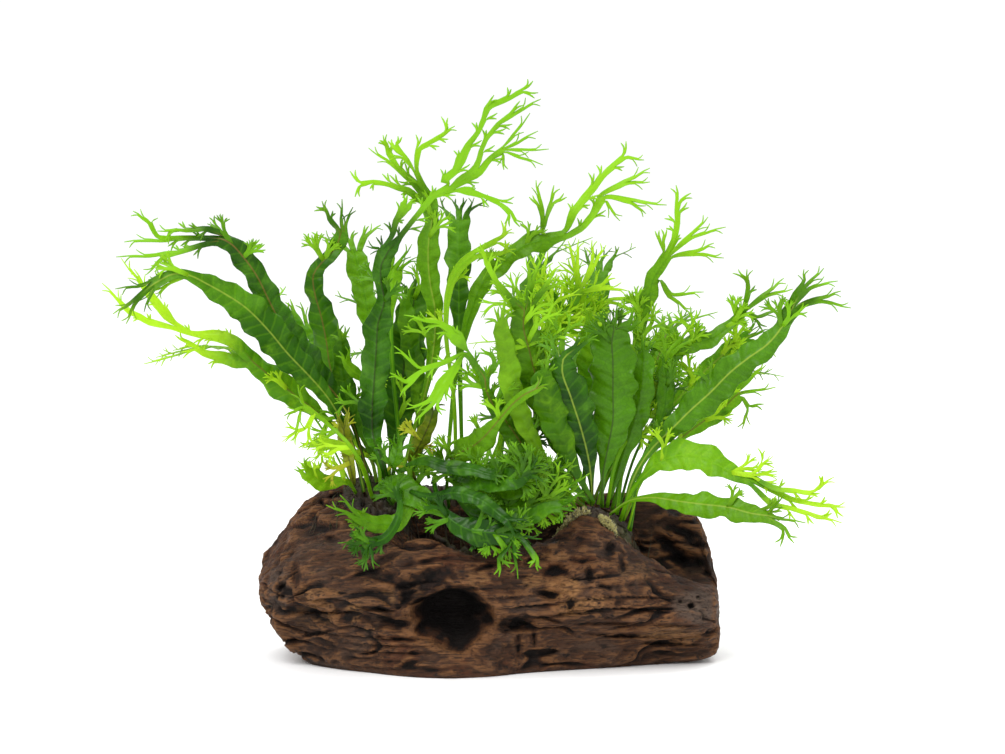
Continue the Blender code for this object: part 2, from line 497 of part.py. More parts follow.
def surface_of(piece):
    """A tree for rays against a piece without its modifiers, in mm."""
    points = [Vector(v.co) / MM for v in piece.data.vertices]
    return BVHTree.FromPolygons(points, [tuple(p.vertices) for p in piece.data.polygons])


def drop(tree, x, y, start=400.0):
    """The height of the first thing under a point, or None."""
    hit = tree.ray_cast(Vector((x, y, start)), Vector((0, 0, -1)))[0]
    return None if hit is None else hit.z


def make_pad(name, tree, spec, colour, rows=9, across=7):
    """A low pad that follows the log's top along a path: flat below, domed above, thin at its rim."""
    path, half, height = spec
    path = np.array(path, float)
    at = np.linspace(0, len(path) - 1, rows)
    line = catmull(path, at)
    along = np.gradient(line, axis=0)
    along /= np.linalg.norm(along, axis=1)[:, None]
    side = np.column_stack([-along[:, 1], along[:, 0]])
    span = np.linspace(-1, 1, across)
    share = np.linspace(-1, 1, rows)
    taper = np.sqrt(np.clip(1 - np.abs(share) ** 3, 0, 1)) * 0.75 + 0.25
    top, low = [], []
    for r in range(rows):
        for s in span:
            x, y = line[r] + side[r] * s * half * taper[r]
            ground = max(drop(tree, x + dx, y + dy) or 0 for dx in (-1.5, 0, 1.5) for dy in (-1.5, 0, 1.5))
            dome = math.sqrt(max(0.0, 1 - s * s)) * taper[r] * math.sqrt(max(0.0, 1 - share[r] ** 4))
            low.append((x, y, ground + CLEARANCE))
            top.append((x, y, ground + CLEARANCE + 0.7 + height * dome))
    points = np.array(low + top)
    shift, faces = rows * across, []
    for r in range(rows - 1):
        for k in range(across - 1):
            a, b = r * across + k, r * across + k + 1
            c, d = b + across, a + across
            faces += [(a, c, b), (a, d, c)]
            faces += [(a + shift, b + shift, c + shift), (a + shift, c + shift, d + shift)]
    rim = [k for k in range(across)] + [r * across + across - 1 for r in range(1, rows)]
    rim += [(rows - 1) * across + k for k in range(across - 2, -1, -1)] + [r * across for r in range(rows - 2, 0, -1)]
    for i, a in enumerate(rim):
        b = rim[(i + 1) % len(rim)]
        faces += [(a, b, b + shift), (a, b + shift, a + shift)]
    for lift in range(12):
        here = BVHTree.FromPolygons([Vector(p) for p in points - (0, 0, 0.5)], faces)
        if not here.overlap(tree):
            break
        points = points + (0, 0, 0.4)
    piece = add_mesh(name, points, faces, colour)
    face_outward(piece)
    return piece


class Frond:
    """One frond: its tree of way points, with depths that can be moved."""

    def __init__(self, name, crown, places, widths, before, depths, face):
        self.name, self.crown, self.face = name, crown, np.array(face, float)
        self.places, self.widths, self.before, self.depths = places, widths, before, depths
        self.kids = [np.flatnonzero(before == i) for i in range(len(before))]
        self.base = None

    def points(self):
        """The way points in space."""
        points = seen(self.places, self.depths)
        if self.base is not None:
            points[0] = self.base
        return points


def spread_depth(places, before, start, end, given):
    """First depths: from the base's to the tip's, by way of the given ones, with lobes fanned out a little."""
    steps = np.zeros(len(before))
    for i in range(1, len(before)):
        steps[i] = steps[before[i]] + np.linalg.norm(places[i] - places[before[i]])
    share = steps / steps.max()
    fan = np.array([math.sin(2.3 * i + places[i, 0] * 0.31) for i in range(len(before))])
    known = sorted({0: start, **given}.items())
    last = known[-1][0]
    onward = np.clip((share - share[last]) / (1 - share[last]), 0, 1)
    depths = known[-1][1] + (end - known[-1][1]) * onward ** 0.8
    early = np.arange(len(before)) <= last
    depths[early] = np.interp(share[early], [share[i] for i, _ in known], [depth for _, depth in known])
    turn = np.zeros(len(before))
    for i in range(len(before)):
        kids = np.flatnonzero(before == i)
        for order, k in enumerate(kids if len(kids) > 1 else ()):
            below = [k]
            for j in range(k + 1, len(before)):
                if before[j] in below:
                    below.append(j)
            turn[below] += LOBE_FAN * (1 if order % 2 else -1)
    return depths + turn + 1.5 * fan * np.clip(share - 0.72, 0, 1) / 0.28


def table_fronds():
    """The fronds that the front look gives."""
    found = []
    for name, (crown, start, end, face, spine, crest) in FRONDS.items():
        tree = grow(crest, spine[-1][:2])
        for place in reversed(spine):
            tree = fork((place[0], place[1], place[2] or STALK), tree)
        places, widths, before = flatten(tree)
        given = {i: place[3] for i, place in enumerate(spine) if len(place) > 3}
        depths = spread_depth(places, before, start, end, given)
        found.append(Frond("frond_" + name, crown, places, widths, before, depths, face))
    return found


def back_fronds(heights):
    """The fronds of the back and the sides: arching away from their crown, forked four times at the tip."""
    found = []
    for number, (name, (crown, x, y, turn, high, reach, width)) in enumerate(BACK_FRONDS.items()):
        way = np.array([math.cos(math.radians(turn)), math.sin(math.radians(turn)), 0.0])
        side = np.array([-way[1], way[0], 0.0])
        base = np.array([x, y, heights[crown]])
        sway = 0.10 * reach * math.sin(1.7 * number + 0.6)
        spine = []
        for t, wide in ((0, 0), (0.2, 0.17), (0.4, 0.3), (0.56, 0.75), (0.7, 1.0), (0.84, 0.85)):
            rise = high * math.sin(t * 2.0) / math.sin(2.0) if high < 0.8 * reach else high * t ** 0.85
            spine.append((base + way * reach * t ** 1.2 + side * sway * math.sin(3 * t) + (0, 0, rise), width * wide))
        end = spine[-1][0]
        onward = (end - spine[-2][0]) / np.linalg.norm(end - spine[-2][0])
        droop = np.array([0, 0, -0.35])
        places, widths, before = [], [], []
        for i, (point, wide) in enumerate(spine):
            places.append(point)
            widths.append(wide or STALK)
            before.append(i - 1)
        root = len(places) - 1
        for k, lean in enumerate((-0.75, 0.0, 0.75)):
            arm = end + (onward + side * lean + droop * (0.4 + 0.3 * k)) * (9 + 2 * math.sin(number + k))
            places.append(arm)
            widths.append(TIP_WIDTH * 1.35)
            before.append(root)
            here = len(places) - 1
            for turned in (-0.5, 0.5):
                tip = arm + (onward + side * (lean + turned) + droop * 0.8) * (11 + 3 * math.sin(2 * number + k))
                places.append(tip)
                widths.append(0.0)
                before.append(here)
        places = np.array(places)
        face = way * 0.45 * (1 if number % 2 else -1) + np.array([0, 0, 1.0])
        front = as_seen(places)
        found.append(Frond("frond_" + name, crown, front, np.array(widths), np.array(before), places[:, 1].copy(), face))
    return found


def frames(frond, points):
    """At each way point: the onward direction, the sideways direction and the upper side, without a sudden turn."""
    count = len(points)
    onward = np.zeros((count, 3))
    for i in range(count):
        into = points[i] - points[frond.before[i]] if frond.before[i] >= 0 else np.zeros(3)
        kids = frond.kids[i]
        out = np.mean([points[k] - points[i] for k in kids], axis=0) if len(kids) else np.zeros(3)
        into = into / (np.linalg.norm(into) or 1)
        out = out / (np.linalg.norm(out) or 1)
        onward[i] = into + (out if len(kids) == 1 else 0.3 * out)
    onward /= np.linalg.norm(onward, axis=1)[:, None]
    raw = np.cross(onward, frond.face)
    side = np.zeros((count, 3))

    def settle(i, beside):
        carried = beside - onward[i] * (beside @ onward[i])
        carried /= np.linalg.norm(carried) or 1
        own = raw[i] * (1 if raw[i] @ carried >= 0 else -1)
        side[i] = carried if frond.widths[i] < 3 and i < widest else carried * 0.6 + own
        side[i] /= np.linalg.norm(side[i])

    spine = [0]
    while len(frond.kids[spine[-1]]) == 1:
        spine.append(frond.kids[spine[-1]][0])
    widest = spine[int(np.argmax(frond.widths[spine]))]
    side[widest] = raw[widest] / np.linalg.norm(raw[widest])
    at = widest
    while frond.before[at] >= 0:
        settle(frond.before[at], side[at])
        at = frond.before[at]
    for i in range(widest + 1, count):
        settle(i, side[frond.before[i]])
    return onward, side, np.cross(side, onward)


def samples(fronds):
    """Points spread along every frond for keeping them apart."""
    owner, nodes, share, place, half, deep, near = [], [], [], [], [], [], []
    for f, frond in enumerate(fronds):
        points = frond.points()
        onward, side, _ = frames(frond, points)
        look = points - EYE
        look /= np.linalg.norm(look, axis=1)[:, None]
        slant = np.abs((side * look).sum(axis=1))
        steps = np.zeros(len(points))
        for i in range(1, len(points)):
            j = frond.before[i]
            far = np.linalg.norm(points[i] - points[j])
            steps[i] = steps[j] + far
            for t in (np.arange(max(2, int(far / 2.5))) + 0.5) / max(2, int(far / 2.5)):
                wide = (1 - t) * frond.widths[j] + t * frond.widths[i]
                tilt = (1 - t) * slant[j] + t * slant[i]
                owner.append(f)
                nodes.append((j, i))
                share.append(t)
                place.append((1 - t) * frond.places[j] + t * frond.places[i])
                half.append(wide / 2 * math.sqrt(max(0.0, 1 - tilt * tilt)) + 0.3)
                deep.append(wide / 2 * tilt)
                near.append(steps[j] + t * far)
    return (np.array(owner), np.array(nodes), np.array(share), np.array(place), np.array(half), np.array(deep),
            np.array(near))


def keep_apart(fronds, solids):
    """Moves the way points along the line of sight until no two fronds touch and none enters the solids below."""
    owner, nodes, share, place, half, deep, near = samples(fronds)
    first = np.array([0] + list(np.cumsum([len(f.depths) for f in fronds])))
    a = first[owner] + nodes[:, 0]
    b = first[owner] + nodes[:, 1]
    depth = np.concatenate([f.depths for f in fronds])
    fixed = np.zeros(len(depth), bool)
    fixed[first[:-1]] = True
    start = depth.copy()
    upper = np.concatenate([first[f] + np.arange(1, len(frond.depths)) for f, frond in enumerate(fronds)])
    lower = np.concatenate([first[f] + frond.before[1:] for f, frond in enumerate(fronds)])
    links = np.bincount(upper, minlength=len(depth)) + np.bincount(lower, minlength=len(depth))
    left, right = [], []
    for i in range(len(owner)):
        gap = np.linalg.norm(place[i + 1:] - place[i], axis=1)
        close = np.flatnonzero((gap < half[i + 1:] + half[i] + 2.2) & (owner[i + 1:] != owner[i])) + i + 1
        left += [i] * len(close)
        right += list(close)
    left, right = np.array(left), np.array(right)
    need = SPACING + 0.9 * (deep[left] + deep[right])
    need *= np.clip(np.minimum(near[left], near[right]) / 14, 0.25, 1)
    here = depth[a] * (1 - share) + depth[b] * share
    pair = owner[left] * len(fronds) + owner[right]
    known, which = np.unique(pair, return_inverse=True)
    lean = np.bincount(which, here[left] - here[right])
    sign = np.where(lean >= 0, 1.0, -1.0)[which]
    wall = np.full(len(owner), np.inf)
    ways = seen(place, np.zeros(len(place))) - EYE
    for i in range(len(owner)):
        for tree in solids:
            hit = tree.ray_cast(Vector(EYE), Vector(ways[i]).normalized())[0]
            if hit is not None and near[i] > 9 and here[i] < hit.y + 25:
                wall[i] = min(wall[i], hit.y - 2.2 - deep[i])
    for step in range(SOLVER_STEPS):
        here = depth[a] * (1 - share) + depth[b] * share
        lack = need - sign * (here[left] - here[right])
        bad = np.flatnonzero(lack > 0)
        push = np.zeros(len(depth))
        weight = np.full(len(depth), 1e-9)
        for ends, way in ((left, 1), (right, -1)):
            at = ends[bad]
            force = way * sign[bad] * lack[bad] * 0.5
            for node, part in ((a[at], 1 - share[at]), (b[at], share[at])):
                np.add.at(push, node, force * part * lack[bad])
                np.add.at(weight, node, part * lack[bad])
        deep_in = np.flatnonzero(here > wall)
        for node, part in ((a[deep_in], 1 - share[deep_in]), (b[deep_in], share[deep_in])):
            over = (wall - here)[deep_in]
            np.add.at(push, node, over * part * 4)
            np.add.at(weight, node, part * 4)
        change = 0.6 * push / np.maximum(weight, 1e-6)
        change[fixed] = 0
        pull = 0.004 * (start - depth)
        pull[fixed] = 0
        depth += change + pull * (step < SOLVER_STEPS * 0.7)
        moved = depth - start
        beside = np.zeros(len(depth))
        np.add.at(beside, lower, moved[upper])
        np.add.at(beside, upper, moved[lower])
        even = EVENNESS * (beside / links - moved)
        even[fixed] = 0
        depth += even * (step < SOLVER_STEPS * 0.85)
    for f, frond in enumerate(fronds):
        frond.depths = depth[first[f]:first[f + 1]]
    return len(bad)


def frond_mesh(frond):
    """The closed solid of a frond: three-cornered rings joined, split at forks and drawn to a point at tips."""
    points = frond.points()
    onward, side, up = frames(frond, points)
    corners, owners, faces, limit = [], [], [], {}
    now = [0]

    def corner(p):
        corners.append(p)
        owners.append(now[0])
        return len(corners) - 1

    def ring_at(i, width):
        now[0] = i
        thick = STALK_THICKNESS if width < 3 else BLADE_THICKNESS
        left = corner(points[i] - side[i] * width / 2)
        right = corner(points[i] + side[i] * width / 2)
        top = corner(points[i] + up[i] * thick)
        return left, right, top

    def join(one, two):
        for k in range(3):
            p, q = one[k], one[(k + 1) % 3]
            r, s = two[(k + 1) % 3], two[k]
            faces.extend([(p, q, r), (p, r, s)])

    first = ring_at(0, frond.widths[0])
    faces.append((first[0], first[2], first[1]))
    todo = [(0, first)]
    while todo:
        i, ring = todo.pop()
        kids = frond.kids[i]
        if len(kids) == 1:
            k = kids[0]
            if frond.widths[k] <= 0:
                tip = corner(points[k])
                faces.extend([(ring[0], ring[1], tip), (ring[1], ring[2], tip), (ring[2], ring[0], tip)])
            else:
                after = ring_at(k, frond.widths[k])
                join(ring, after)
                todo.append((k, after))
            continue
        now[0] = i
        ways = np.array([points[k] - points[i] for k in kids])
        far = np.linalg.norm(ways, axis=1)
        ways /= far[:, None]
        angle = np.arctan2(ways @ side[i], ways @ onward[i])
        order = np.argsort(angle)
        kids, ways, far, angle = kids[order], ways[order], far[order], angle[order]
        wide = np.array([frond.widths[k] if frond.widths[k] > 0 else TIP_WIDTH * 0.7 for k in kids])
        for m in range(len(kids) - 1):
            room = math.sin(min(1.2, max(0.05, (angle[m + 1] - angle[m]) / 2)))
            for k in (m, m + 1):
                wide[k] = min(wide[k], max(1.6, 1.7 * far[k] * room))
        limit.update({k: w for k, w in zip(kids, wide)})
        notch = []
        for m in range(len(kids) - 1):
            middle = ways[m] + ways[m + 1]
            middle /= np.linalg.norm(middle)
            bend = max(0.15, (angle[m + 1] - angle[m]) / 2)
            away = (wide[m] + wide[m + 1]) / 4 / math.sin(min(bend, 1.4))
            away = min(max(away, 0.3 * frond.widths[i]), 0.42 * min(far[m], far[m + 1]))
            notch.append(corner(points[i] + middle * away))
        outer = []
        for m, sign in ((0, -1), (len(kids) - 1, 1)):
            away = min(0.4 * frond.widths[i] + 1.0, 0.4 * far[m])
            across = np.cross(ways[m], up[i])
            across /= np.linalg.norm(across)
            outer.append(corner(points[i] + ways[m] * away + across * sign * wide[m] / 2))
        edge = [outer[0]] + notch + [outer[1]]
        tops = []
        for m in range(len(kids)):
            tops.append(corner((corners[edge[m]] + corners[edge[m + 1]]) / 2 + up[i] * BLADE_THICKNESS))
        left, right, top = ring
        faces.extend([(left, edge[0], tops[0]), (left, tops[0], top)])
        for m in range(len(kids) - 1):
            faces.extend([(top, tops[m], notch[m]), (top, notch[m], tops[m + 1])])
        faces.extend([(top, tops[-1], edge[-1]), (top, edge[-1], right)])
        split = len(notch) // 2
        for m in range(split + 1):
            faces.append((left, edge[m + 1], edge[m]))
        faces.append((left, right, edge[split + 1]))
        for m in range(split + 1, len(kids)):
            faces.append((right, edge[m + 1], edge[m]))
        for m in range(len(kids)):
            start = (edge[m], edge[m + 1], tops[m])
            k = kids[m]
            if frond.widths[k] <= 0:
                tip = corner(points[k])
                faces.extend([(start[0], start[1], tip), (start[1], start[2], tip), (start[2], start[0], tip)])
            else:
                after = ring_at(k, min(frond.widths[k], limit[k]))
                join(start, after)
                todo.append((k, after))
    return np.array(corners), faces, owners


def crossing(points, faces):
    """The triangles of one solid that cut through others of it."""
    tree = BVHTree.FromPolygons([Vector(p) for p in points], faces)
    return [(a, b) for a, b in tree.overlap(tree) if a < b and not set(faces[a]) & set(faces[b])]


def sound_mesh(frond):
    """The frond's solid, its way points narrowed where its own folds would cut through each other."""
    for _ in range(SLIMMING_STEPS):
        points, faces, owners = frond_mesh(frond)
        hits = crossing(points, faces)
        if not hits:
            break
        places = sorted({owners[c] for pair in hits for face in pair for c in faces[face]})
        frond.widths[places] = np.where(frond.widths[places] > 0, np.maximum(frond.widths[places] * 0.86, 1.2), 0)
    return points, faces


def main():
    for old in list(bpy.data.objects):
        bpy.data.objects.remove(old)
    log = make_log()
    log_tree = surface_of(log)
    crowns, heights = {}, {}
    for name, spec in CROWNS.items():
        crown = make_pad("rhizome_" + name, log_tree, spec, (0.10, 0.11, 0.04), 9, 6)
        crowns[name] = surface_of(crown)
        heights[name] = max(v.co.z for v in crown.data.vertices) / MM
    solids = [log_tree] + list(crowns.values())
    for name, spec in MOSS_PADS.items():
        solids.append(surface_of(make_pad("moss_" + name, log_tree, spec, (0.35, 0.45, 0.06), 6, 5)))
    fronds = table_fronds() + back_fronds(heights)
    for frond in fronds:
        x, y = frond.points()[0][:2]
        around = [drop(crowns[frond.crown], x + dx, y + dy) for dx in (-1.2, 0, 1.2) for dy in (-1.2, 0, 1.2)]
        if None in around:
            print("BASE OFF CROWN", frond.name, round(x, 1), round(y, 1))
        ground = max([g for g in around if g is not None] or [heights[frond.crown] - 2])
        frond.base = np.array([x, y, ground + 0.5 + 0.6 * frond.widths[0]])
        frond.places[0] = as_seen(frond.base[None])[0]
    left = keep_apart(fronds, solids)
    print("pairs still close", left)
    for frond in fronds:
        points, faces = sound_mesh(frond)
        piece = add_mesh(frond.name, points, faces, (0.12, 0.36, 0.03))
        face_outward(piece)


if __name__ == "__main__":
    main()
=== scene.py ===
"""A java fern on driftwood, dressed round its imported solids.

The fern's fronds, the log, the rhizomes with their roots and the moss are worked out as surfaces in millimetres
and stored in metres, each where its solid is. The front look is the view of the photograph: a way point of a
frond is given as it looks from there, and its depth is taken from the frond's own solid.
"""

from __future__ import annotations

import logging
import math
from dataclasses import dataclass, field
from enum import Enum
from itertools import product
from typing import Any, Sequence

import bpy
import numpy as np
from mathutils import Matrix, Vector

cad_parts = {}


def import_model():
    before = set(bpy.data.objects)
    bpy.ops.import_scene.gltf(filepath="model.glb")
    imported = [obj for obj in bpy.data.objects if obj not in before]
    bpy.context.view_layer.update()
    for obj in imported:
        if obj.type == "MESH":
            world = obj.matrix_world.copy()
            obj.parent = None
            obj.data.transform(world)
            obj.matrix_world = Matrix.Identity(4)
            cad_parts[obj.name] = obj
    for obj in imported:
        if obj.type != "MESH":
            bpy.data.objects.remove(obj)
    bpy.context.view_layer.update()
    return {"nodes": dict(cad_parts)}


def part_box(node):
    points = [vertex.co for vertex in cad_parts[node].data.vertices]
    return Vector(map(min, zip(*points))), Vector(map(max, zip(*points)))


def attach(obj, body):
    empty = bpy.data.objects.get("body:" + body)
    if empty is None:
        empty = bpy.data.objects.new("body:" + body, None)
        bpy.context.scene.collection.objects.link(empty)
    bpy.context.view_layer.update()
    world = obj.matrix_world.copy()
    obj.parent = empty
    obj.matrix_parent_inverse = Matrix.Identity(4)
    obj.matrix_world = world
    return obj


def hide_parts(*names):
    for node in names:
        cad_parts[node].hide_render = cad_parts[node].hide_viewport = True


log = logging.getLogger("java_fern")

MM = 0.001
Array = np.ndarray

# Log, in mm. Each row is one cross-section:
# x; foot y, z; ledge y, z; rim y, z; hollow floor y, z; ridge y, z; back y, z; heel y, z
LOG_SECTIONS = (
    (-112, -12, 28, -22, 36, -8, 46, 0, 48, 10, 50, 23, 40, 12, 27),
    (-104, -20, 16, -35, 36, -12, 52, 0, 57, 15, 61, 31, 42, 20, 15),
    (-92, -16, 2, -40, 39, -15, 60, 0, 69, 17, 78, 37, 44, 28, 3),
    (-76, -27, 0, -45, 38, -21, 62, -3, 75, 18, 86, 43, 42, 36, 0),
    (-60, -36, 0, -48, 37, -28, 62, -6, 72, 19, 87, 46, 40, 40, 0),
    (-46, -44, 0, -50, 36, -35, 63, -8, 60, 20, 84, 48, 38, 43, 0),
    (-32, -49, 0, -52, 38, -35, 65, -6, 46, 22, 80, 50, 38, 44, 0),
    (-16, -50, 0, -53, 41, -34, 59, -4, 38, 23, 77, 50, 38, 44, 0),
    (0, -46, 0, -51, 38, -33, 58, -2, 37, 24, 75, 50, 38, 44, 0),
    (16, -38, 0, -48, 34, -33, 60, 0, 38, 24, 74, 49, 38, 43, 0),
    (32, -32, 0, -46, 33, -31, 65, 2, 46, 24, 75, 48, 38, 42, 0),
    (46, -28, 0, -44, 33, -26, 73, 0, 70, 23, 77, 47, 38, 40, 0),
    (58, -24, 0, -42, 31, -25, 67, -2, 67, 20, 78, 45, 38, 38, 0),
    (70, -20, 0, -39, 29, -25, 60, 2, 57, 18, 79, 43, 38, 36, 0),
    (82, -16, 0, -36, 27, -23, 52, 0, 42, 16, 79, 41, 38, 33, 0),
    (94, -13, 1, -33, 25, -21, 45, -2, 38, 14, 73, 38, 38, 30, 2),
    (104, -12, 2, -30, 24, -19, 42, -3, 37, 12, 68, 34, 36, 26, 4),
    (112, -9, 5, -25, 23, -16, 40, -5, 37, 8, 44, 26, 33, 20, 9),
)

# Crowns of creeping rhizome: path over the log's top (x, y), half width, height, in mm
CROWNS = {
    "left": (((-74, 5), (-62, 5), (-51, 7), (-41, 9)), 10.0, 6.0),
    "middle": (((-38, 15), (-22, 18), (-4, 20), (22, 21)), 9.5, 6.0),
    "right": (((39, -6), (50, -6), (61, -5), (72, -4)), 10.0, 6.0),
}
MOSS_PADS = {
    "wide": (((33, -21), (41, -22), (49, -21.5)), 3.6, 3.2),
    "small": (((55, -21), (62, -21.5)), 3.4, 2.4),
}

